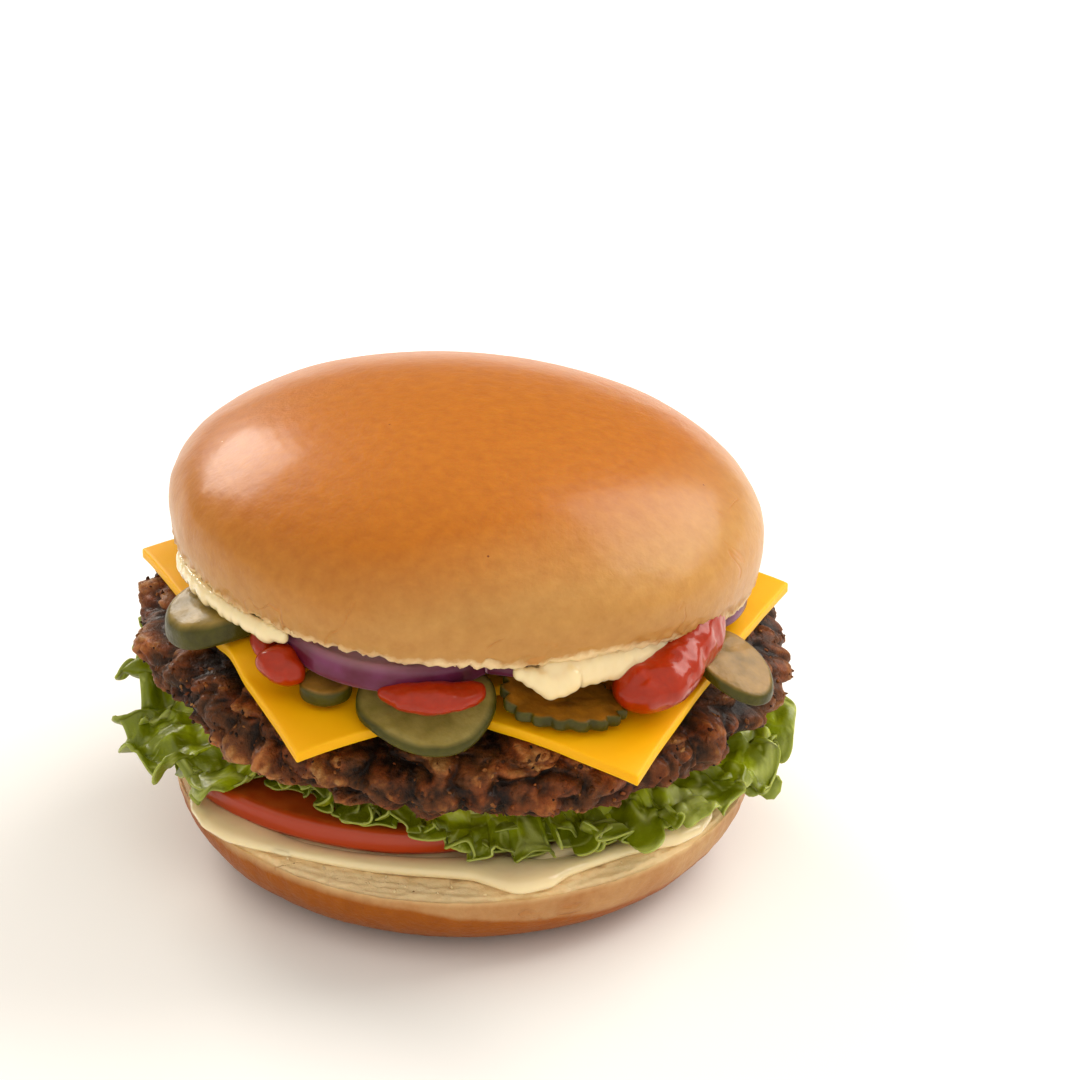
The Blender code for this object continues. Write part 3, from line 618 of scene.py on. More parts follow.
def crust_material(name, stops, gloss, relief):
    """Baked crust: a thin satin skin, glazed where the gloss is high, with fine pores and wrinkles."""
    material, tree, place = new_material(name, {
        "Roughness": 0.45, "Specular IOR Level": 0.12, "Subsurface Weight": 0.10, "Subsurface Scale": 0.0015,
        "Coat Weight": gloss, "Coat IOR": 1.35, "Coat Roughness": 0.22})
    rise = add_node(tree, "Attribute", attribute_name="rise").outputs["Fac"]
    # Blotches over a centimetre wide where the oven caught it, on top of how far up the bun a point is; that
    # is lowered to the front right, where the buns carry painted light
    blotches = add_node(tree, "TexNoise", {
        "Vector": place, "Scale": pattern(13.33), "Detail": 6.0, "Roughness": 0.62})
    level = add_node(tree, "Math", {0: blotches, 1: 0.16, 2: rise}, operation="MULTIPLY_ADD")
    baked = add_node(tree, "ValToRGB", {"Fac": level}, stops=stops)
    mottle = add_node(tree, "TexNoise", {
        "Vector": place, "Scale": pattern(2.381), "Detail": 5.0, "Roughness": 0.6})
    mottled = add_node(tree, "Mix", {0: 0.35, 6: baked, 7: mottle},
                       data_type="RGBA", blend_type="SOFT_LIGHT")
    # Small dark and pale specks, a few on each square centimetre
    dots = add_node(tree, "TexVoronoi", {"Vector": place, "Scale": pattern(4.348)})
    spot = add_node(tree, "Math", {0: dots, 1: 0.050}, operation="LESS_THAN")
    drawn = add_node(tree, "SeparateColor", {0: dots.outputs["Color"]})
    rare = add_node(tree, "Math", {0: drawn.outputs[0], 1: 0.90}, operation="GREATER_THAN")
    speck = add_node(tree, "Math", {0: spot, 1: rare}, operation="MULTIPLY")
    tint = add_node(tree, "ValToRGB", {"Fac": drawn.outputs[1]}, stops=(
        (0.60, linear("#7a3d0d")), (0.62, linear("#f4ddb0"))))
    specked = add_node(tree, "Mix", {0: speck, 6: mottled, 7: tint}, data_type="RGBA")
    # Creases: where two lots of soft noise are level, near the rim alone
    lines = add_node(tree, "TexNoise", {
        "Vector": place, "Scale": pattern(29.41), "Detail": 3.0, "Distortion": 0.6})
    away = add_node(tree, "Math", {0: lines, 1: 0.5}, operation="SUBTRACT")
    size = add_node(tree, "Math", {0: away}, operation="ABSOLUTE")
    low = add_node(tree, "MapRange", {"Value": level, "From Min": 0.50, "From Max": 0.30})
    broken = add_node(tree, "MapRange", {"Value": blotches, "From Min": 0.52, "From Max": 0.60})
    line = add_node(tree, "MapRange", {"Value": size, "From Min": 0.010, "From Max": 0.002})
    part = add_node(tree, "Math", {0: line, 1: low}, operation="MULTIPLY")
    crease = add_node(tree, "Math", {0: part, 1: broken}, operation="MULTIPLY")
    soft = add_node(tree, "Math", {0: crease, 1: 0.25}, operation="MULTIPLY")
    creased = add_node(tree, "Mix", {0: soft, 6: specked, 7: linear("#c0701f")}, data_type="RGBA")
    # Pores under a millimetre wide
    pores = add_node(tree, "TexNoise", {"Vector": place, "Scale": pattern(0.8696), "Detail": 3.0})
    fine = add_node(tree, "Math", {0: pores, 1: 0.40, 2: mottle}, operation="MULTIPLY_ADD")
    cut = add_node(tree, "Math", {0: crease, 1: -0.8, 2: fine}, operation="MULTIPLY_ADD")
    set_surface(tree, creased, cut, relief)
    return material


def crumb_material(colours):
    """Torn crumb: dry open sponge with no shine, into which light soaks."""
    material, tree, place = new_material("bread_crumb", {
        "Roughness": 0.85, "Specular IOR Level": 0.25, "Subsurface Weight": 0.25, "Subsurface Scale": 0.002,
        "Subsurface Radius": (1.0, 0.75, 0.45)})
    clouds, tint = clouded(tree, place, 3.333, 4.0, (
        (0.30, darker(colours.crumb, 0.82)), (0.70, colours.crumb)))
    set_surface(tree, tint, clouds, 0.0002)
    return material


def patty_material(colours):
    """Seared minced beef: browned strands, darker into the hollows as painted shade, moist with fat that
    glints.
    """
    material, tree, place = new_material("seared_minced_beef", {
        "Roughness": 0.50, "Specular IOR Level": 0.15, "Coat Weight": 0.14, "Coat IOR": 1.40,
        "Coat Roughness": 0.14})
    crag = add_node(tree, "Attribute", attribute_name="crag").outputs["Fac"]
    warm = add_node(tree, "TexNoise", {
        "Vector": place, "Scale": pattern(6.667), "Detail": 5.0, "Roughness": 0.65})
    flecks = add_node(tree, "TexNoise", {
        "Vector": place, "Scale": pattern(1.429), "Detail": 5.0, "Roughness": 0.7})
    # Depth into the crags, with flecks: both ramps below run dark into the hollows as painted shade
    depth = add_node(tree, "Math", {0: flecks, 1: 0.55, 2: crag}, operation="MULTIPLY_ADD")
    seared = add_node(tree, "ValToRGB", {"Fac": depth}, stops=(
        (0.30, linear("#ac7c48")), (1.0, linear("#160a03")), (0.42, linear("#8a5828")),
        (0.58, colours.patty), (0.78, linear("#45260c")), (0.94, linear("#241205"))))
    red = add_node(tree, "ValToRGB", {"Fac": depth}, stops=(
        (0.34, linear("#b0622e")), (1.0, linear("#190802")), (0.60, linear("#7c3a12")),
        (0.85, linear("#401a06"))))
    share = add_node(tree, "MapRange", {"Value": warm, "From Min": 0.46, "From Max": 0.66})
    both = add_node(tree, "Mix", {0: share, 6: seared, 7: red}, data_type="RGBA")
    # Strands of mince, drawn longer upwards than across
    strands = add_node(tree, "Mapping", {"Vector": place, "Scale": (1.0, 1.0, 0.45)})
    fibres = add_node(tree, "TexNoise", {
        "Vector": strands, "Scale": pattern(1.111), "Detail": 5.0, "Roughness": 0.6, "Distortion": 0.8})
    set_surface(tree, both, fibres, 0.0007)
    return material


def cheese_material(colours):
    """Processed cheese: smooth pressed sheet, a waxy satin that light soaks into."""
    material, tree, place = new_material("processed_cheese", {
        "Roughness": 0.45, "Specular IOR Level": 0.20, "Subsurface Weight": 0.30, "Subsurface Scale": 0.003,
        "Subsurface Radius": (1.0, 0.60, 0.05)})
    tint = clouded(tree, place, 18.18, 3.0, (
        (0.30, darker(colours.cheese, 0.93)), (0.72, colours.cheese)))[1]
    pressed = add_node(tree, "TexNoise", {"Vector": place, "Scale": pattern(3.846), "Detail": 2.0})
    set_surface(tree, tint, pressed, 0.00005)
    return material


def lettuce_material(colours):
    """Living leaf: a thin moist blade that glows against the light, with pale veins and a painted highlight
    along its edge.
    """
    material, tree, place = new_material("lettuce_leaf", {
        "Roughness": 0.36, "Specular IOR Level": 0.30, "Subsurface Weight": 0.45, "Subsurface Scale": 0.0012,
        "Subsurface Radius": (0.9, 1.0, 0.08), "Coat Weight": 0.12, "Coat Roughness": 0.15})
    out = add_node(tree, "Attribute", attribute_name="out").outputs["Fac"]
    puff = add_node(tree, "Attribute", attribute_name="puff").outputs["Fac"]
    vein = add_node(tree, "Attribute", attribute_name="vein").outputs["Fac"]
    patches = add_node(tree, "TexNoise", {"Vector": place, "Scale": pattern(9.091), "Detail": 4.0})
    level = add_node(tree, "Math", {0: patches, 1: 0.75, 2: out}, operation="MULTIPLY_ADD")
    raised = add_node(tree, "Math", {0: puff, 1: -0.35, 2: level}, operation="MULTIPLY_ADD")
    green = colours.lettuce
    blade = add_node(tree, "ValToRGB", {"Fac": raised}, stops=(
        (0.24, linear("#dcdc6c")), (1.0, darker(green, 0.45)), (0.52, linear("#c6ce30")), (0.78, green)))
    # Pale veins, and the painted highlight along the edge, in one pale colour
    veined = add_node(tree, "Mix", {
        0: vein, 6: blade, 7: linear("#d4da80")}, data_type="RGBA")
    blisters = add_node(tree, "TexNoise", {"Vector": place, "Scale": pattern(1.613), "Detail": 3.0})
    set_surface(tree, veined, blisters, 0.0003)
    return material


def tomato_material(colours):
    """Sliced tomato: wet cut flesh inside a taut glossy skin."""
    material, tree, place = new_material("sliced_tomato", {
        "Roughness": 0.28, "Specular IOR Level": 0.30, "Subsurface Weight": 0.25, "Subsurface Scale": 0.002,
        "Subsurface Radius": (1.0, 0.25, 0.05), "Coat Weight": 0.25, "Coat Roughness": 0.12})
    rim = add_node(tree, "Attribute", attribute_name="rim").outputs["Fac"]
    fibres, flesh = clouded(tree, place, 4.167, 5.0, ((0.30, linear("#b2400f")), (0.75, linear("#cc5a20"))))
    skin = add_node(tree, "Mix", {0: rim, 6: flesh, 7: colours.tomato}, data_type="RGBA")
    set_surface(tree, skin, fibres, 0.00012)
    return material


def pickle_material(colours):
    """Pickled cucumber: clear wet flesh, drawn amber by each slice's share, which on the right slice is a
    painted reflection of the cheese, in a darker olive skin.
    """
    material, tree, place = new_material("pickled_cucumber", {
        "Roughness": 0.38, "Specular IOR Level": 0.20, "Subsurface Weight": 0.30, "Subsurface Scale": 0.003,
        "Subsurface Radius": (0.9, 0.8, 0.1), "Coat Weight": 0.18, "Coat IOR": 1.36, "Coat Roughness": 0.10})
    amber = add_node(tree, "Attribute", attribute_name="amber").outputs["Fac"]
    rim = add_node(tree, "Attribute", attribute_name="rim").outputs["Fac"]
    clouds, pale = clouded(tree, place, 3.846, 5.0, ((0.30, linear("#7a6f30")), (0.72, linear("#9e9250"))))
    brown = add_node(tree, "ValToRGB", {"Fac": clouds}, stops=(
        (0.30, linear("#6a4208")), (0.72, linear("#a4660c"))))
    flesh = add_node(tree, "Mix", {0: amber, 6: pale, 7: brown}, data_type="RGBA")
    skin = add_node(tree, "ValToRGB", {"Fac": clouds}, stops=(
        (0.35, darker(colours.pickle, 0.55)), (0.70, colours.pickle)))
    edge = add_node(tree, "MapRange", {"Value": rim, "From Min": 0.90, "From Max": 0.985})
    whole = add_node(tree, "Mix", {0: edge, 6: flesh, 7: skin}, data_type="RGBA")
    fine = add_node(tree, "TexNoise", {"Vector": place, "Scale": pattern(1.111), "Detail": 3.0})
    wet = add_node(tree, "Math", {0: clouds, 1: 1.5, 2: fine}, operation="MULTIPLY_ADD")
    set_surface(tree, whole, wet, 0.00014)
    return material


def onion_material(colours):
    """Red onion: glassy wet layers, purple on the outside and nearly white within."""
    material, tree, place = new_material("red_onion", {
        "Roughness": 0.34, "Specular IOR Level": 0.18, "Subsurface Weight": 0.25, "Subsurface Scale": 0.0025,
        "Subsurface Radius": (1.0, 0.25, 0.40), "Coat Weight": 0.20, "Coat Roughness": 0.15})
    rim = add_node(tree, "Attribute", attribute_name="rim").outputs["Fac"]
    streaks, purple = clouded(tree, place, 7.692, 4.0, ((0.36, colours.onion), (0.78, linear("#7a3560"))))
    layers = add_node(tree, "Math", {0: rim, 1: 9.0}, operation="POWER")
    whole = add_node(tree, "Mix", {0: layers, 6: linear("#c9a0ad"), 7: purple}, data_type="RGBA")
    set_surface(tree, whole, streaks, 0.00015)
    return material


def ketchup_material(colours):
    """Ketchup: thick smooth paste with a wet, almost mirror gloss."""
    material, tree, place = new_material("ketchup", {
        "Roughness": 0.30, "Specular IOR Level": 0.15, "Subsurface Weight": 0.20, "Subsurface Scale": 0.0015,
        "Subsurface Radius": (1.0, 0.15, 0.02), "Coat Weight": 0.60, "Coat IOR": 1.38,
        "Coat Roughness": 0.05})
    pulp, tint = clouded(tree, place, 1.667, 3.0, (
        (0.30, darker(colours.ketchup, 0.8)), (0.75, colours.ketchup)))
    set_surface(tree, tint, pulp, 0.00012)
    return material


def sauce_material(colours):
    """Mayonnaise: a whipped emulsion, creamy and glossy, that light soaks into."""
    material, tree, place = new_material("mayonnaise", {
        "Roughness": 0.20, "IOR": 1.46, "Subsurface Weight": 0.40, "Subsurface Scale": 0.003,
        "Subsurface Radius": (1.0, 0.8, 0.5), "Coat Weight": 0.5, "Coat Roughness": 0.08})
    tint = clouded(tree, place, 8.333, 3.0, ((0.30, darker(colours.sauce, 0.94)), (0.72, colours.sauce)))[1]
    smears = add_node(tree, "TexNoise", {"Vector": place, "Scale": pattern(4.545), "Detail": 2.0})
    set_surface(tree, tint, smears, 0.00018)
    return material


def make_crown(sizes, colours):
    """The dome, its skin dimpled and creased, and its cut edge ragged with crumb."""
    radius, height = sizes.bun_radius, sizes.crown_height
    fall = np.cos(np.linspace(0.0, math.pi / 2, 30))
    dome = np.column_stack((radius * (1.0 - fall ** CROWN_SQUARENESS) ** (1 / CROWN_SQUARENESS),
                            CROWN_WIDEST + (height - CROWN_WIDEST) * fall))
    turn = np.linspace(0.0, math.pi / 2, 12)[1:]
    side = np.column_stack((radius - (radius - CROWN_CUT_RADIUS) * (1.0 - np.cos(turn)),
                            CROWN_WIDEST * (1.0 - np.sin(turn))))
    under = [(r, CROWN_HOLLOW * s) for r, s in zip(HOLLOW_RADII[::-1], HOLLOW_SHARES[::-1])]
    crown = turned("crown_baked", np.vstack((dome, side, under)), *GRIDS["crown"], hidden_radius=0.048,
                   top_shows=True)
    base = points_of(crown)
    out = from_axis(base)
    share = smooth_step(0.030, radius, out) * smooth_step(-0.001, 0.012, base[:, 2])
    slow = np.array([noise.noise(Vector(p)) for p in base * 26.0])
    scale = 1.0 + slow * 0.0011 * share / np.maximum(out, 0.001)
    lip = smooth_step(0.046, 0.0515, out) * (1.0 - smooth_step(0.0010, 0.0042, base[:, 2]))
    skin = 1.0 - lip
    dimples = bumps(base, 0.013, 3) * 0.00030 + bumps(base, 0.0045, 5) * 0.00008
    torn = np.abs(bumps(base, 0.0027, 9)) + 0.5 * np.abs(bumps(base, 0.0012, 10))
    scale += (dimples * skin + (0.4 - torn) * 0.0009 * lip) / np.maximum(out, 0.004)
    push = CROWN_OFF_CENTRE * smooth_step(0.0, height, base[:, 2])
    lifted = base[:, 2] + crown_lift(base[:, 0], base[:, 1], base[:, 2]) + (torn - 0.45) * 0.0010 * lip
    local = np.column_stack((base[:, 0] * scale + push, base[:, 1] * scale, lifted))
    place_points(crown, local @ crown_turn_matrix().T + CROWN_PLACE)
    # The side to the front right is drawn paler: partly a paler bake, partly painted light from the right
    # window
    right = smooth_step(0.004, 0.058, base[:, 0] * 0.80 - base[:, 1] * 0.60)
    rise = base[:, 2] / height
    keep_value(crown, "rise", np.maximum(rise - 0.47 * right, np.minimum(rise, 0.116)))
    pale = colours.crust_pale
    stops = ((0.0, colours.crumb), (1.0, colours.crust), (0.105, colours.crumb), (0.145, pale),
             (0.40, between(colours.crust, pale)), (0.68, colours.crust))
    finished(crown, crust_material("glazed_bun_crust", stops, 0.45, 0.00016), "bun", "bun_crown")


def make_crumbs(sizes, colours):
    """Crumbs torn loose along the two cuts of the bun."""
    draw = np.random.default_rng(3)
    count = CRUMB_COUNT
    angle = draw.uniform(-math.pi, math.pi, count)
    radius = draw.uniform(0.0496, 0.0541, count)
    fine = draw.uniform(0.00010, 0.00030, count)
    spots = np.column_stack((radius * np.cos(angle), radius * np.sin(angle),
                             sizes.heel_height + draw.uniform(-0.0003, 0.0002, count)))
    turned_lip = CROWN_CUT_RADIUS + draw.uniform(-0.0012, 0.0002, count)
    lip = np.column_stack((turned_lip * np.cos(angle), turned_lip * np.sin(angle), 0 * angle))
    lip[:, 2] = crown_lift(lip[:, 0], lip[:, 1], 0.0) + draw.uniform(-0.0001, 0.0006, count)
    lip = lip @ crown_turn_matrix().T + CROWN_PLACE
    lumps = np.column_stack((fine, fine * 0.8, fine * draw.uniform(0.8, 2.0, count)))
    piece, _ = ball_cloud("torn_crumbs", np.vstack((spots, lip)), np.vstack((lumps, lumps)), 4)
    finished(piece, crumb_material(colours), "bun")


def make_heel(sizes, colours):
    """The bottom of the bun: torn crumb in terraces round its cut, and a browned side, drawn paler to the
    front right as painted light.
    """
    radius, height = sizes.bun_radius, sizes.heel_height
    turn = np.linspace(math.pi / 2, 0.0, 20)
    side = np.column_stack((HEEL_FOOT_RADIUS + (radius - 0.0005 - HEEL_FOOT_RADIUS) * np.sin(turn),
                            HEEL_ROUNDING * (1.0 - np.cos(turn))))
    top = [(0.0, height), (0.046, height), (radius - 0.0014, height - 0.0001)]
    profile = np.vstack((top, side, [(0.0, 0.0)]))
    heel = turned("heel_baked", profile, *GRIDS["heel"], hidden_radius=0.036)
    base = points_of(heel)
    out = from_axis(base)
    face = smooth_step(0.042, 0.047, out) * smooth_step(height - 0.0016, height - 0.0004, base[:, 2])
    side_share = smooth_step(0.0015, 0.005, base[:, 2]) * smooth_step(0.040, 0.050, out) * (1.0 - face)
    wrinkles = bumps(base * (1.0, 1.0, 0.25), 0.0030, 2, 2) * 0.00016 * side_share
    slow = np.array([noise.noise(Vector(p)) for p in base / 0.012])
    move = slow * 0.0004 * side_share + wrinkles + bumps(base, 0.0016, 7) * 0.0003 * face
    scale = 1.0 + move / np.maximum(out, 0.01)
    flat = base * (1.0, 1.0, 0.0)
    fall = 1.1 + 1.3 * bumps(flat, 0.012, 8) + 2.6 * smooth_step(0.0495, 0.0545, out)
    fall = fall + 0.5 * bumps(flat, 0.0022, 6)
    step = np.floor(fall) + smooth_step(0.55, 1.0, fall - np.floor(fall))
    torn = -step * 0.00042 + 0.0004 + bumps(flat, 0.0011, 3, 2) * 0.00022
    place_points(heel, np.column_stack((base[:, 0] * scale, base[:, 1] * scale, base[:, 2] + torn * face)))
    below = (height - base[:, 2]) / height
    # The side to the front right is drawn paler: painted light from the right window
    right = smooth_step(0.004, 0.052, base[:, 0] * 0.90 - base[:, 1] * 0.44)
    baked = np.maximum(below - 0.34 * right, np.minimum(below, 0.15))
    keep_value(heel, "rise", np.where((out > 0.050) | (below > 0.3), baked, 0.0) * (1.0 - face))
    edge = colours.heel_crust
    # The pale stop, halfway to the crumb, is where the painted light on the front right lands
    stops = ((0.0, colours.crumb), (1.0, darker(edge, 0.80)), (0.115, colours.crumb),
             (0.150, between(colours.crumb, colours.crust_pale)), (0.30, edge))
    finished(heel, crust_material("bun_heel_crust", stops, 0.05, 0.00034), "bun", "bun_heel")


def make_tomato(sizes, colours):
    """A slice with a slightly lobed outline, on the lower sauce."""
    thickness = sizes.tomato_thick
    tomato = disc("tomato_cut", sizes.tomato_radius, thickness, 0.0005, *GRIDS["tomato"])
    base = points_of(tomato)
    angle = round_axis(base)
    lobed = 1.0 + 0.018 * np.cos(5 * angle + 0.6) + 0.012 * np.cos(3 * angle)
    floor = sizes.heel_height + GAP + LOWER_SAUCE_THICK + GAP
    place_points(tomato, np.column_stack((base[:, 0] * lobed + TOMATO_CENTRE[0],
                                          base[:, 1] * lobed + TOMATO_CENTRE[1], floor + base[:, 2])))
    out = from_axis(base)
    keep_value(tomato, "rim", smooth_step(sizes.tomato_radius - 0.0009, sizes.tomato_radius - 0.0002, out))
    finished(tomato, tomato_material(colours), "tomato", "tomato_slice")


def patty_shell(radius, sizes):
    """Half the thickness of the patty at a radius, before its relief."""
    share = np.minimum(1.0, radius / sizes.patty_radius)
    return sizes.patty_half * np.sqrt(np.maximum(0.0, 1.0 - share ** PATTY_SQUARENESS))


def patty_floor(x, y, sizes):
    radius = np.hypot(x - PATTY_CENTRE[0], y - PATTY_CENTRE[1])
    return PATTY_MIDDLE - patty_shell(radius, sizes) + lean(x, y)


def make_patty(sizes, colours):
    """Coarse crags at the size of the mince, cut into the plain shell, and torn strands on them."""
    radius = np.concatenate((np.linspace(0.0, 0.040, 4), sizes.patty_radius * np.sin(
        np.linspace(math.asin(0.042 / sizes.patty_radius), math.pi / 2, 40))))
    shell = patty_shell(radius, sizes)
    profile = np.vstack((np.column_stack((radius, shell)), np.column_stack((radius, -shell))[::-1][1:]))
    patty = turned("patty_seared", profile, *GRIDS["patty"], hidden_radius=0.044)
    base = points_of(patty)
    out = np.maximum(from_axis(base), 0.001)
    rim = smooth_step(0.038, 0.056, out)
    spots = [Vector(spot) for spot in base * (1.0, 1.0, 1.2) / PATTY_LUMP]
    cells = np.array([noise.voronoi(spot)[0][:2] for spot in spots])
    near, second = cells[:, 0], cells[:, 1]
    apart = np.minimum(1.0, near / np.maximum(second, 0.01))
    grain = np.minimum(1.0, near * 1.35) ** 1.6 * (0.4 + 0.6 * apart)
    swell = 0.5 + 0.5 * np.array([noise.noise(spot * 0.35 + Vector((7.0, 3.0, 1.0))) for spot in spots])
    warp = np.column_stack([bumps(base, 0.006, seed) for seed in (11, 12, 13)]) * 0.0030
    warped = base + warp
    lumps = np.abs(bumps(warped, 0.0082, 1))
    strands = np.abs(bumps(warped * (1.0, 1.0, 0.55), 0.0027, 2))
    near_fine, second_fine = grains(warped * (1.0, 1.0, 0.75), 0.0021, 3)
    torn = np.clip(second_fine - near_fine, 0.0, 0.5) * 2
    dust = bumps(base, 0.0009, 4, 2)
    up = 0.0042 * np.minimum(lumps, 0.5) + 0.0010 * np.minimum(strands, 0.6)
    up = up + 0.00040 * torn + 0.00016 * dust
    cut = PATTY_RELIEF * (0.95 * grain + 0.45 * swell) + 0.0010 - up
    inward = 1.0 - rim * cut / out
    flatter = 1.0 - (0.03 + 0.10 * grain) * rim + (up - 0.0009) * rim / sizes.patty_half * 0.55
    x = base[:, 0] * inward + PATTY_CENTRE[0]
    y = base[:, 1] * inward + PATTY_CENTRE[1]
    place_points(patty, np.column_stack((x, y, PATTY_MIDDLE + base[:, 2] * flatter + lean(x, y))))
    hollow = 1.0 - (1.2 * np.minimum(lumps, 0.5) + 0.6 * np.minimum(strands, 0.6) + 0.30 * torn) / 1.1
    # How deep in the crags each point lies, which the material paints as shade
    keep_value(patty, "crag", np.clip(hollow * 0.72 + grain * 0.34 - 0.08, 0.0, 1.0))
    material = patty_material(colours)
    finished(patty, material, "patty", "beef_patty")
    scatter_mince(patty, material)


def scatter_mince(patty, material):
    """Short strands of mince that stand out of the seared side."""
    points = points_of(patty)
    draw = np.random.default_rng(5)
    outer = np.flatnonzero(from_axis(points) > 0.052)
    chosen = draw.choice(outer, MINCE_COUNT, replace=False)
    thick = draw.uniform(0.00020, 0.00048, MINCE_COUNT)
    long = thick * draw.uniform(1.0, 2.4, MINCE_COUNT)
    sunk = points[chosen] - normals_of(patty)[chosen] * thick[:, None] * 0.45
    mince, lot = ball_cloud("patty_mince", sunk, np.column_stack((thick, thick * 0.8, long)), 6)
    keep_value(mince, "crag", 0.10 + 0.62 * lot)
    finished(mince, material, "patty")


def make_cheese(name, node, place, on_lower, sizes, material):
    """A square slice laid over the patty, its corners bending down past the edge."""
    deselect_all()
    bpy.ops.mesh.primitive_grid_add(x_subdivisions=90, y_subdivisions=90, size=sizes.cheese_side)
    piece = started(name)
    add_modifier(piece, "SOLIDIFY", thickness=sizes.cheese_thick, offset=1.0)
    add_modifier(piece, "BEVEL", width=0.00035, segments=3, limit_method="ANGLE")
    piece.rotation_euler.z = math.radians(place[2])
    piece.location = (place[0], place[1], 0.0)
    only(piece)
    bpy.ops.object.transform_apply(location=True, rotation=True, scale=True)
    points = points_of(piece)
    x, y = points[:, 0], points[:, 1]
    under = cheese_share(x, y, CHEESE_LOWER, 0.009, sizes.cheese_side) if on_lower else 0.0
    flat = points * (1.0, 1.0, 0.0)
    sag = bumps(flat, 0.016, 4.0) * 0.00035 + bumps(flat, 0.006, 2.0) * 0.0001
    points[:, 2] += drape(x, y, sizes) + GAP + under * CHEESE_LAYER + sag
    place_points(piece, points)
    finished(piece, material, "cheese", node)


def make_pickle(name, size, sizes, material):
    """A slice of pickle lying over the cheese; its skin is fluted where it is crinkle cut."""
    centre_x, centre_y, radius_x, radius_y, degrees, thickness, slope_x, slope_y, rise, reach = size
    ridge = RIDGE_DEPTH if name == "pickle_ridged" else 0.0
    piece = disc(name + "_cut", radius_x, thickness, thickness * 0.30, *GRIDS["pickle"])
    base = points_of(piece)
    share = from_axis(base) / radius_x
    angle = round_axis(base)
    groove = ridge * smooth_step(0.72, 1.0, share) * (0.5 + 0.5 * np.cos(RIDGE_COUNT * angle)) ** 1.6
    around = np.column_stack((np.cos(angle), np.sin(angle), 0 * angle))
    wander = bumps(around, 0.9, round(radius_x * 1e4)) * 0.05
    fluted = 1.0 - groove / radius_x + wander * smooth_step(0.3, 1.0, share)
    along, across = base[:, 0] * fluted, base[:, 1] * fluted * radius_y / radius_x
    turn = math.radians(degrees)
    dx = along * math.cos(turn) - across * math.sin(turn)
    dy = along * math.sin(turn) + across * math.cos(turn)
    x, y = centre_x + dx, centre_y + dy
    dent = bumps(base, 0.0055, 2, 2) * 0.00026 * smooth_step(0.0, thickness, base[:, 2])
    height = topping_floor(x, y, reach, sizes) + slope_x * dx + slope_y * dy + rise + base[:, 2] + dent
    place_points(piece, np.column_stack((x, y, height)))
    keep_value(piece, "rim", share)
    keep_value(piece, "amber", np.full(len(base), AMBER[name]))
    finished(piece, material, "pickle", name)


def make_onion(name, node, size, floor, notch, material):
    """A slice of onion; its floor gives the height that it lies at."""
    centre_x, centre_y, radius, thickness = size
    piece = disc(name, radius, thickness, thickness * 0.30, *GRIDS["onion"])
    base = points_of(piece)
    share = from_axis(base) / radius
    angle = np.degrees(round_axis(base))
    pressed = 1.0 - notch[2] * np.exp(-(((angle - notch[0]) / notch[1]) ** 2)) * share
    x, y = centre_x + base[:, 0] * pressed, centre_y + base[:, 1] * pressed
    layers = np.cos(share * radius / ONION_RING * 2 * math.pi) * 0.00012 * (share < 0.97)
    up = base[:, 2] + layers * np.sign(base[:, 2] - thickness / 2)
    place_points(piece, np.column_stack((x, y, floor(x, y) + up)))
    keep_value(piece, "rim", share)
    if name == "onion_wide":
        clear_of_left(piece)
    finished(piece, material, "onion", node)


def clear_of_left(piece):
    """Cuts the wide slice behind the small one, and at the back where the crown covers it."""
    deselect_all()
    bpy.ops.mesh.primitive_cylinder_add(vertices=160, radius=ONION_LEFT[2] + GAP, depth=0.06,
                                        location=(ONION_LEFT[0], ONION_LEFT[1], ONION_LEFT_PLANE))
    round_tool = bpy.context.active_object
    bpy.ops.mesh.primitive_cube_add(size=0.1, location=(0.0, ONION_BACK + 0.05, ONION_LEFT_PLANE))
    for tool in (round_tool, bpy.context.active_object):
        add_modifier(piece, "BOOLEAN", operation="DIFFERENCE", solver="EXACT", object=tool)
        bpy.data.objects.remove(tool)


def make_ketchup(name, lumps, sizes, material):
    """A thick drop of lumps that ran together. Each is (x, y, radius, height) on what it lies on."""
    x, y, radius, height = strung(lumps, KETCHUP_THICKENING)
    on_pickle = PICKLES["pickle_front"][5] + GAP if name == "ketchup_middle" else 0.0
    level = topping_floor(x, y, 0.026, sizes) + on_pickle + height * 0.45
    spots = np.column_stack((x, y, level))
    balls = np.column_stack((radius, radius, height * 0.55))
    piece = merged_balls(name + "_drop", spots, balls, *VOXELS["ketchup"])
    points = points_of(piece)
    lumpy = bumps(points, 0.0046, 1) * 0.00055 + bumps(points, 0.0021, 6) * 0.00016
    place_points(piece, points + normals_of(piece) * lumpy[:, None])
    finished(piece, material, "ketchup", name)


def lobe_reach(angle, lobes):
    """How far sauce runs out past its plain edge at each angle in degrees."""
    reaches = [length * np.exp(-((degrees_off(angle, centre) / half_width) ** 2))
               for centre, length, half_width in lobes]
    return np.max(reaches, axis=0)


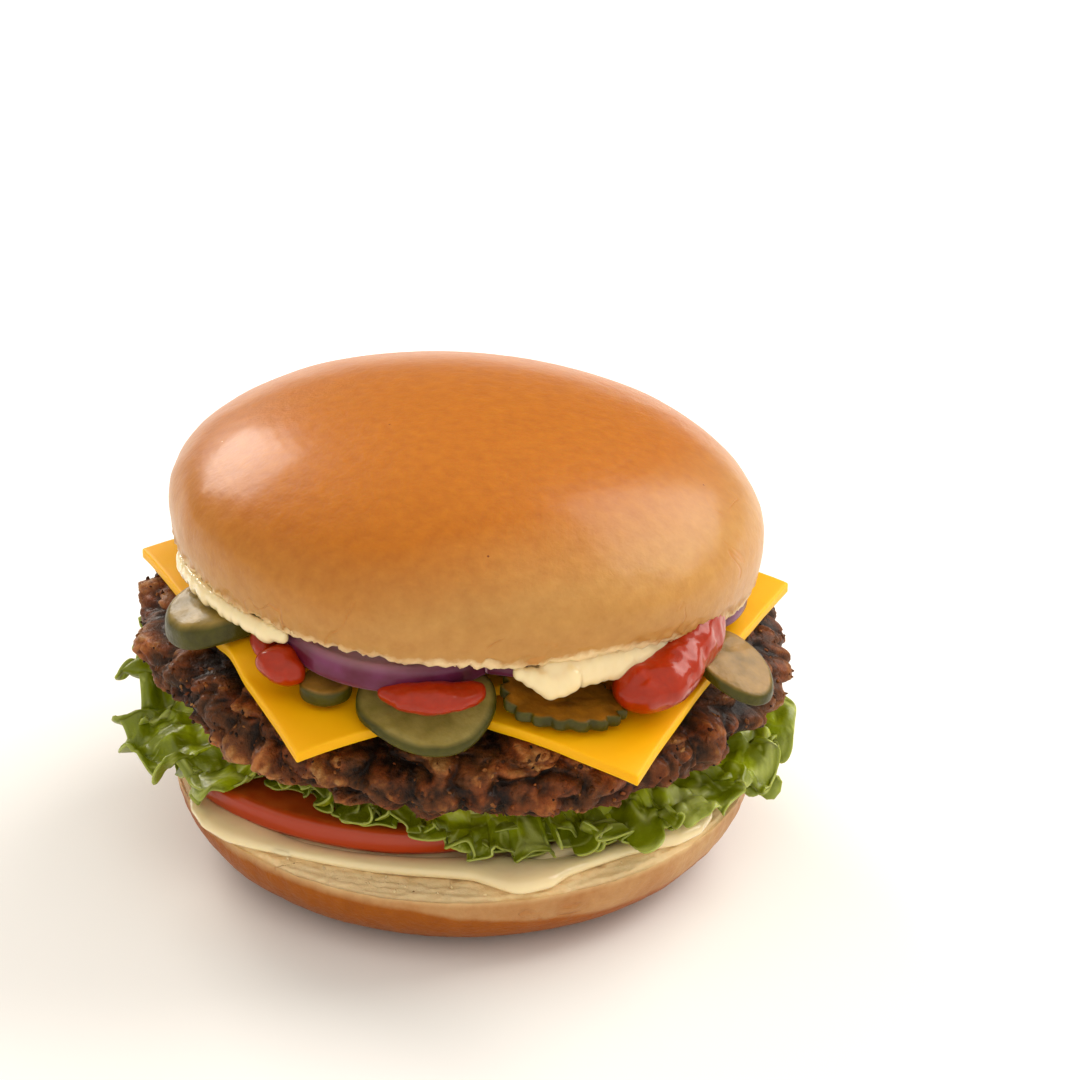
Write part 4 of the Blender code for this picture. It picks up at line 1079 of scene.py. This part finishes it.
def make_lower_sauce(sizes, material):
    """A spread of sauce on the heel, with tongues that run to its edge."""
    rise, radius = LOWER_SAUCE_THICK, SAUCE_RADIUS
    profile = rounded([(0.0, rise), (radius * 0.88, rise), (radius * 0.97, rise * 0.85),
                       (radius, rise * 0.35), (radius * 0.985, 0.0), (radius * 0.5, 0.0), (0.0, 0.0)], 3)
    piece = turned("sauce_spread", profile, *GRIDS["lower sauce"], hidden_radius=0.036)
    base = points_of(piece)
    angle = np.degrees(round_axis(base))
    share = from_axis(base) / radius
    edge = smooth_step(0.6, 1.0, share)
    wander = bumps(base * (1.0, 1.0, 0.0), 0.009, 5.0) * 0.0008
    scale = 1.0 + (lobe_reach(angle, LOWER_SAUCE_LOBES) + wander) / radius * edge
    x, y = base[:, 0] * scale, base[:, 1] * scale
    beyond = np.hypot(x - TOMATO_CENTRE[0], y - TOMATO_CENTRE[1]) - sizes.tomato_radius
    fatter = 1.0 + 0.9 * smooth_step(0.85, 0.97, share) * smooth_step(0.0015, 0.0045, beyond)
    swell = bumps(base * (1.0, 1.0, 0.0), 0.005, 2.0) * 0.00025 * edge * smooth_step(0.0, rise, base[:, 2])
    place_points(piece, np.column_stack((x, y, sizes.heel_height + base[:, 2] * fatter + swell)))
    finished(piece, material, "sauce", "mayo_lower")
    x, y, size, tall = strung(TONGUES, TONGUE_THICKENING)
    spots = np.column_stack((x, y, sizes.heel_height + tall * 0.36))
    balls = np.column_stack((size, size, tall * 0.55))
    tongues = merged_balls("sauce_tongues", spots, balls, *VOXELS["tongues"])
    finished(tongues, material, "sauce")


def make_upper_sauce(material):
    """Sauce that lines the underside of the crown and squeezes out in ridged lobes under its edge."""
    radius = SAUCE_RADIUS
    profile = rounded([(0.0, 0.0), (radius * 0.8, 0.0), (radius * 0.94, 0.0), (radius, -0.3),
                       (radius * 0.98, -0.85), (radius * 0.94, -1.0), (radius * 0.8, -1.0), (0.0, -1.0)], 3)
    sheet = profile * (1.0, SHEET_HEIGHT)
    piece = turned("sauce_squeezed", sheet, *GRIDS["upper sauce"], hidden_radius=0.036)
    base = points_of(piece) / (1.0, 1.0, SHEET_HEIGHT)
    angle = np.degrees(round_axis(base))
    share = from_axis(base) / radius
    out = lobe_reach(angle, UPPER_SAUCE_LOBES)
    turn = np.radians(angle)
    ripple = np.sin(turn * 74 + 6.0 * np.sin(turn * 7) + 5.0 * np.sin(turn * 3)) * 0.035 * out
    scale = 1.0 + (out + ripple) / radius * smooth_step(0.55, 1.0, share)
    x, y = base[:, 0] * scale, base[:, 1] * scale
    thick = UPPER_SAUCE_THICK + UPPER_SAUCE_FATNESS * (out + ripple * 1.5) * smooth_step(0.80, 1.0, share)
    place_points(piece, np.column_stack((x, y, crown_underside(x, y) - GAP + base[:, 2] * thick)))
    finished(piece, material, "sauce", "mayo_upper")
    spots = []
    lumps = []
    draw = np.random.default_rng(8)
    for first, last, ring, size, depth in SQUEEZED:
        for degrees in np.arange(first, last, 0.9):
            turn = math.radians(degrees)
            ends = smooth_step(0.0, 5.0, min(degrees - first, last - degrees) + 1.5)
            swell = 0.07 * math.sin(degrees * 1.9 + 3.0 * math.sin(degrees * 0.31))
            swell += draw.uniform(-0.12, 0.08)
            fat = size * (0.86 + swell) * (0.5 + 0.5 * ends)
            spots.append((ring * math.cos(turn), ring * math.sin(turn), depth + fat * 0.90))
            lumps.append((fat * 0.8, fat * 0.8, fat * (1.15 + 0.10 * math.sin(degrees * 3.1))))
    for x, y, depth, size in DRIP:
        spots.append((x, y, depth))
        lumps.append((size, size, size * 1.2))
    spots = np.array(spots)
    spots[:, 2] = crown_underside(spots[:, 0], spots[:, 1]) - spots[:, 2]
    bead = merged_balls("sauce_beads", spots, lumps, *VOXELS["beads"])
    finished(bead, material, "sauce")


def leaf_band(x, y, sizes):
    """(lowest, highest) that a leaf may reach over a point."""
    on_tomato = np.hypot(x - TOMATO_CENTRE[0], y - TOMATO_CENTRE[1]) - sizes.tomato_radius * 1.035
    spread = sizes.heel_height + LOWER_SAUCE_THICK + 3 * GAP
    low = spread + (sizes.tomato_thick + GAP) * (1.0 - smooth_step(0.0, 0.004, on_tomato))
    low = low - (spread - 0.0130) * smooth_step(0.0550, 0.0590, np.hypot(x, y))
    return low, patty_floor(x, y, sizes) - GAP


def leaf_edge(degrees):
    """(radius, height) of the edge of the lettuce at each angle, read smoothly between the given ones."""
    stops = np.array(LEAF_EDGE + ((360,) + LEAF_EDGE[0][1:],))
    degrees = degrees % 360.0
    index = np.clip(np.searchsorted(stops[:, 0], degrees) - 1, 0, len(stops) - 2)
    share = smooth_step(0.0, 1.0, (degrees - stops[index, 0]) / (stops[index + 1, 0] - stops[index, 0]))
    near, far = stops[index], stops[index + 1]
    return [near[:, column] + (far[:, column] - near[:, column]) * share for column in (1, 2)]


def leaf_layer(name, ends, layer, sizes):
    """One ruffled sheet: it lies under the patty inside, puckers outwards, and its edge curls in loops."""
    first, last = ends
    fineness = 1.0 if layer == 0 else 0.70
    along, across = int((last - first) * 5.2 * fineness), int(40 * fineness)
    deselect_all()
    bpy.ops.mesh.primitive_grid_add(x_subdivisions=along, y_subdivisions=across, size=1.0)
    piece = started(name)
    grid = points_of(piece)
    run, out = grid[:, 0] + 0.5, 1.0 - (0.5 - grid[:, 1]) ** 1.25
    degrees = last - run * (last - first)
    angle = np.radians(degrees)
    edge_radius, edge_height = leaf_edge(degrees)
    around = np.column_stack((np.cos(angle), np.sin(angle), 0 * angle + layer * 3.0)) * 0.05
    slow, mid, quick = (bumps(around, size, seed) for size, seed in ((0.016, 1), (0.007, 2), (0.0028, 3)))
    taper = 0.94 + 0.06 * np.sin(math.pi * (0.02 + 0.96 * run)) ** 0.3 - 0.055 * layer
    inner = LEAF_INNER_RADIUS + 0.006 * layer
    reach = edge_radius * taper + 0.0016 * mid + 0.0009 * quick
    radius = inner + (reach - inner) * out
    x, y = radius * np.cos(angle), radius * np.sin(angle)
    low, high = leaf_band(x, y, sizes)
    low, high = low + sizes.leaf_thick, high - sizes.leaf_thick
    drop = edge_height - high - layer * 0.0020
    middle = high - layer * 0.0010 + drop * out ** 0.85
    wave = 20 * angle + 6.5 * slow + 2.2 * layer
    small = 50 * angle + 7.0 * mid + 1.3 * layer
    size = 0.0028 * (1.0 + 0.9 * slow + 0.5 * mid)
    frill = size * (0.80 * np.sin(wave) * out ** 1.4 + 0.52 * np.sin(small) * out ** 2.6)
    loop = size * (0.55 * np.sin(2 * wave + 0.7) * out ** 1.8 + 0.22 * np.sin(2 * small + 0.4) * out ** 3.2)
    meander = size * (0.55 * np.cos(wave) * out ** 2 + 0.32 * np.cos(small) * out ** 3)
    flat = np.column_stack((x, y, 0 * x + layer * 0.05))
    puff = np.abs(bumps(flat, 0.0066, 4)) + 0.50 * np.abs(bumps(flat, 0.0034, 5))
    pucker = (puff - 0.35) * 0.0030 * smooth_step(0.05, 0.5, out)
    crumple = bumps(flat, 0.0052, 9, 2) * 0.0024 * smooth_step(0.15, 0.9, out)
    crumple -= np.abs(bumps(flat, 0.0029, 15)) * 0.0011 * smooth_step(0.3, 0.9, out)
    height = held(middle + frill + pucker + crumple, low, np.maximum(high, low))
    meander += bumps(flat, 0.0048, 14, 2) * 0.0012 * out ** 2
    x += meander * np.cos(angle) - loop * np.sin(angle)
    y += meander * np.sin(angle) + loop * np.cos(angle)
    place_points(piece, np.column_stack((x, y, height)))
    keep_value(piece, "out", out)
    keep_value(piece, "puff", np.clip(puff * 1.3, 0.0, 1.0))
    radial = np.column_stack((angle * 0.05, out * 0.016, 0 * x + layer))
    ribs = np.abs(bumps(radial, 0.0085, 7))
    twigs = np.abs(bumps(flat, 0.0036, 8))
    vein = (1.0 - smooth_step(0.0, 0.075, ribs)) * 0.9 * (1.0 - out * 0.55)
    vein = np.maximum(vein, (1.0 - smooth_step(0.0, 0.07, twigs)) * 0.40)
    # Pale veins, and a painted highlight along the very edge of the leaf
    keep_value(piece, "vein", np.maximum(vein, smooth_step(0.975, 1.0, out) * 0.25))
    add_modifier(piece, "SOLIDIFY", thickness=sizes.leaf_thick, offset=0.0)
    return piece


def make_leaf(node, ends, sizes, material):
    """A head leaf, which stands for the solid, with smaller layers under it."""
    for layer in range(sizes.leaf_layers):
        piece = leaf_layer(f"{node}_layer_{layer}", ends, layer, sizes)
        finished(piece, material, "lettuce", *([node] if layer == 0 else []))


def soft_light(name, window, power, target):
    """A soft studio window that faces the target from its direction."""
    azimuth, elevation = math.radians(window[0]), math.radians(window[1])
    size, colour = window[2:]
    light = bpy.data.lights.new(name, "AREA")
    light.shape = "RECTANGLE"
    light.size, light.size_y = size
    light.energy = power
    light.color = linear(colour)
    lamp = bpy.data.objects.new(name, light)
    bpy.context.scene.collection.objects.link(lamp)
    aim = Vector((math.cos(azimuth) * math.cos(elevation), math.sin(azimuth) * math.cos(elevation),
                  math.sin(elevation)))
    lamp.location = Vector(target) + aim * WINDOW_DISTANCE
    lamp.rotation_euler = aim.to_track_quat("Z", "Y").to_euler()


def make_stage(stage):
    """A pale floor, soft windows behind it to the left and the right, and the camera."""
    scene = bpy.context.scene
    deselect_all()
    bpy.ops.mesh.primitive_plane_add(size=30.0, location=(0.0, 0.0, 0.0))
    floor = started("studio_floor")
    floor.data.materials.append(new_material("matt_studio_paper", {
        "Base Color": (*linear("#f4f3f1"), 1.0), "Roughness": 0.9, "Specular IOR Level": 0.2})[0])

    world = bpy.data.worlds.new("pale_studio")
    world.use_nodes = True
    tree = world.node_tree
    background = tree.nodes["Background"]
    background.inputs["Color"].default_value = (*linear("#f8f3ea"), 1.0)
    # Softer behind, fuller from above the camera
    place = add_node(tree, "TexCoord").outputs["Generated"]
    facing = add_node(tree, "VectorMath", {0: place, 1: BRIGHT_SIDE}, operation="DOT_PRODUCT")
    strength = add_node(tree, "MapRange", {
        "Value": facing.outputs["Value"], "From Min": -0.5, "From Max": 1.0,
        "To Min": stage.fill * DIM_SHARE, "To Max": stage.fill})
    tree.links.new(in_use(strength), background.inputs["Strength"])
    scene.world = world
    target = (0.0, 0.0, stage.target_height)
    soft_light("window_left", LEFT_WINDOW, stage.key_power, target)
    soft_light("window_right", RIGHT_WINDOW, stage.side_power, target)

    camera = bpy.data.objects.new("camera", bpy.data.cameras.new("camera"))
    scene.collection.objects.link(camera)
    scene.camera = camera
    camera.location = (0.0, -stage.distance * math.cos(stage.elevation),
                       stage.target_height + stage.distance * math.sin(stage.elevation))
    camera.rotation_euler = (math.pi / 2 - stage.elevation, 0.0, 0.0)
    camera.data.lens = stage.focal
    camera.data.sensor_width = 36.0
    # The burger stands left of the middle of the frame, and low in it
    camera.data.shift_x = (FRAME_SIDE / 2 - BURGER_MIDDLE[0]) / FRAME_SIDE
    camera.data.shift_y = (BURGER_MIDDLE[1] - FRAME_SIDE / 2) / FRAME_SIDE
    scene.view_settings.view_transform = "Standard"


def chosen(context):
    """The sizes and the colours that the user has set."""
    return context.scene.hamburger_sizes, context.scene.hamburger_colours


class HAMBURGER_OT_bun(bpy.types.Operator):
    """Bake the crown and the heel"""

    bl_idname = "hamburger.bun"
    bl_label = "Bun"

    def execute(self, context):
        for make in (make_heel, make_crown, make_crumbs):
            make(*chosen(context))
        return {"FINISHED"}


class HAMBURGER_OT_sauce(bpy.types.Operator):
    """Spread the lower sauce and squeeze the upper one out under the crown"""

    bl_idname = "hamburger.sauce"
    bl_label = "Sauce"

    def execute(self, context):
        sizes, colours = chosen(context)
        material = sauce_material(colours)
        make_lower_sauce(sizes, material)
        make_upper_sauce(material)
        return {"FINISHED"}


class HAMBURGER_OT_tomato(bpy.types.Operator):
    """Lay the tomato slice"""

    bl_idname = "hamburger.tomato"
    bl_label = "Tomato"

    def execute(self, context):
        make_tomato(*chosen(context))
        return {"FINISHED"}


class HAMBURGER_OT_lettuce(bpy.types.Operator):
    """Grow the ruffled lettuce leaves"""

    bl_idname = "hamburger.lettuce"
    bl_label = "Lettuce"

    def execute(self, context):
        sizes, colours = chosen(context)
        material = lettuce_material(colours)
        for node, ends in LEAVES.items():
            make_leaf(node, ends, sizes, material)
        return {"FINISHED"}


class HAMBURGER_OT_patty(bpy.types.Operator):
    """Sear the craggy patty"""

    bl_idname = "hamburger.patty"
    bl_label = "Patty"

    def execute(self, context):
        make_patty(*chosen(context))
        return {"FINISHED"}


class HAMBURGER_OT_cheese(bpy.types.Operator):
    """Drape the two cheese slices"""

    bl_idname = "hamburger.cheese"
    bl_label = "Cheese"

    def execute(self, context):
        sizes, colours = chosen(context)
        material = cheese_material(colours)
        make_cheese("cheese_under", "cheese_lower", CHEESE_LOWER, False, sizes, material)
        make_cheese("cheese_over", "cheese_upper", CHEESE_UPPER, True, sizes, material)
        return {"FINISHED"}


class HAMBURGER_OT_pickles(bpy.types.Operator):
    """Lay the five pickle slices"""

    bl_idname = "hamburger.pickles"
    bl_label = "Pickles"

    def execute(self, context):
        sizes, colours = chosen(context)
        material = pickle_material(colours)
        for name, size in PICKLES.items():
            make_pickle(name, size, sizes, material)
        return {"FINISHED"}


class HAMBURGER_OT_onions(bpy.types.Operator):
    """Lay the small thick onion slice and the wide thin one"""

    bl_idname = "hamburger.onions"
    bl_label = "Onions"

    def execute(self, context):
        sizes, colours = chosen(context)
        material = onion_material(colours)

        def thick_floor(x, y):
            return ONION_LEFT_PLANE + lean(x, y)

        def wide_floor(x, y):
            plane = ONION_RIGHT_PLANE + ONION_RIGHT_SLOPE[0] * (x - ONION_RIGHT[0])
            plane = plane + ONION_RIGHT_SLOPE[1] * (y - ONION_RIGHT[1])
            return np.maximum(plane, topping_floor(x, y, 0.020, sizes))

        make_onion("onion_thick", "onion_left", ONION_LEFT, thick_floor, (0.0, 1.0, 0.0), material)
        make_onion("onion_wide", "onion_right", ONION_RIGHT, wide_floor, ONION_NOTCH, material)
        return {"FINISHED"}


class HAMBURGER_OT_ketchup(bpy.types.Operator):
    """Drop the ketchup on the cheese"""

    bl_idname = "hamburger.ketchup"
    bl_label = "Ketchup"

    def execute(self, context):
        sizes, colours = chosen(context)
        material = ketchup_material(colours)
        for name, size in KETCHUP.items():
            make_ketchup(name, size, sizes, material)
        return {"FINISHED"}


class HAMBURGER_OT_stage(bpy.types.Operator):
    """Lay the pale floor, hang the soft lights and place the camera"""

    bl_idname = "hamburger.stage"
    bl_label = "Stage"

    def execute(self, context):
        make_stage(context.scene.hamburger_stage)
        return {"FINISHED"}


class HAMBURGER_PT_pieces(bpy.types.Panel):
    """Sizes, colours and the pieces, from the foot of the burger up"""

    bl_idname = "HAMBURGER_PT_pieces"
    bl_label = "Hamburger"
    bl_space_type = "VIEW_3D"
    bl_region_type = "UI"
    bl_category = "Hamburger"

    def draw(self, context):
        for group in (*chosen(context), context.scene.hamburger_stage):
            column = self.layout.column(align=True)
            for name in group.__annotations__:
                column.prop(group, name)
        for operator in OPERATORS:
            self.layout.operator(operator.bl_idname)


GROUPS = {
    "hamburger_sizes": HamburgerSizes,
    "hamburger_colours": HamburgerColours,
    "hamburger_stage": HamburgerStage,
}
OPERATORS = (HAMBURGER_OT_bun, HAMBURGER_OT_sauce, HAMBURGER_OT_tomato, HAMBURGER_OT_lettuce,
             HAMBURGER_OT_patty, HAMBURGER_OT_cheese, HAMBURGER_OT_pickles, HAMBURGER_OT_onions,
             HAMBURGER_OT_ketchup, HAMBURGER_OT_stage)


def register():
    for name, group in GROUPS.items():
        bpy.utils.register_class(group)
        setattr(bpy.types.Scene, name, PointerProperty(type=group))
    for shown in OPERATORS + (HAMBURGER_PT_pieces,):
        bpy.utils.register_class(shown)


def unregister():
    for shown in reversed(OPERATORS + (HAMBURGER_PT_pieces,)):
        bpy.utils.unregister_class(shown)
    for name, group in GROUPS.items():
        delattr(bpy.types.Scene, name)
        bpy.utils.unregister_class(group)


def main():
    register()
    for operator in OPERATORS:
        family, name = operator.bl_idname.split(".")
        getattr(getattr(bpy.ops, family), name)()


if __name__ == "__main__":
    main()
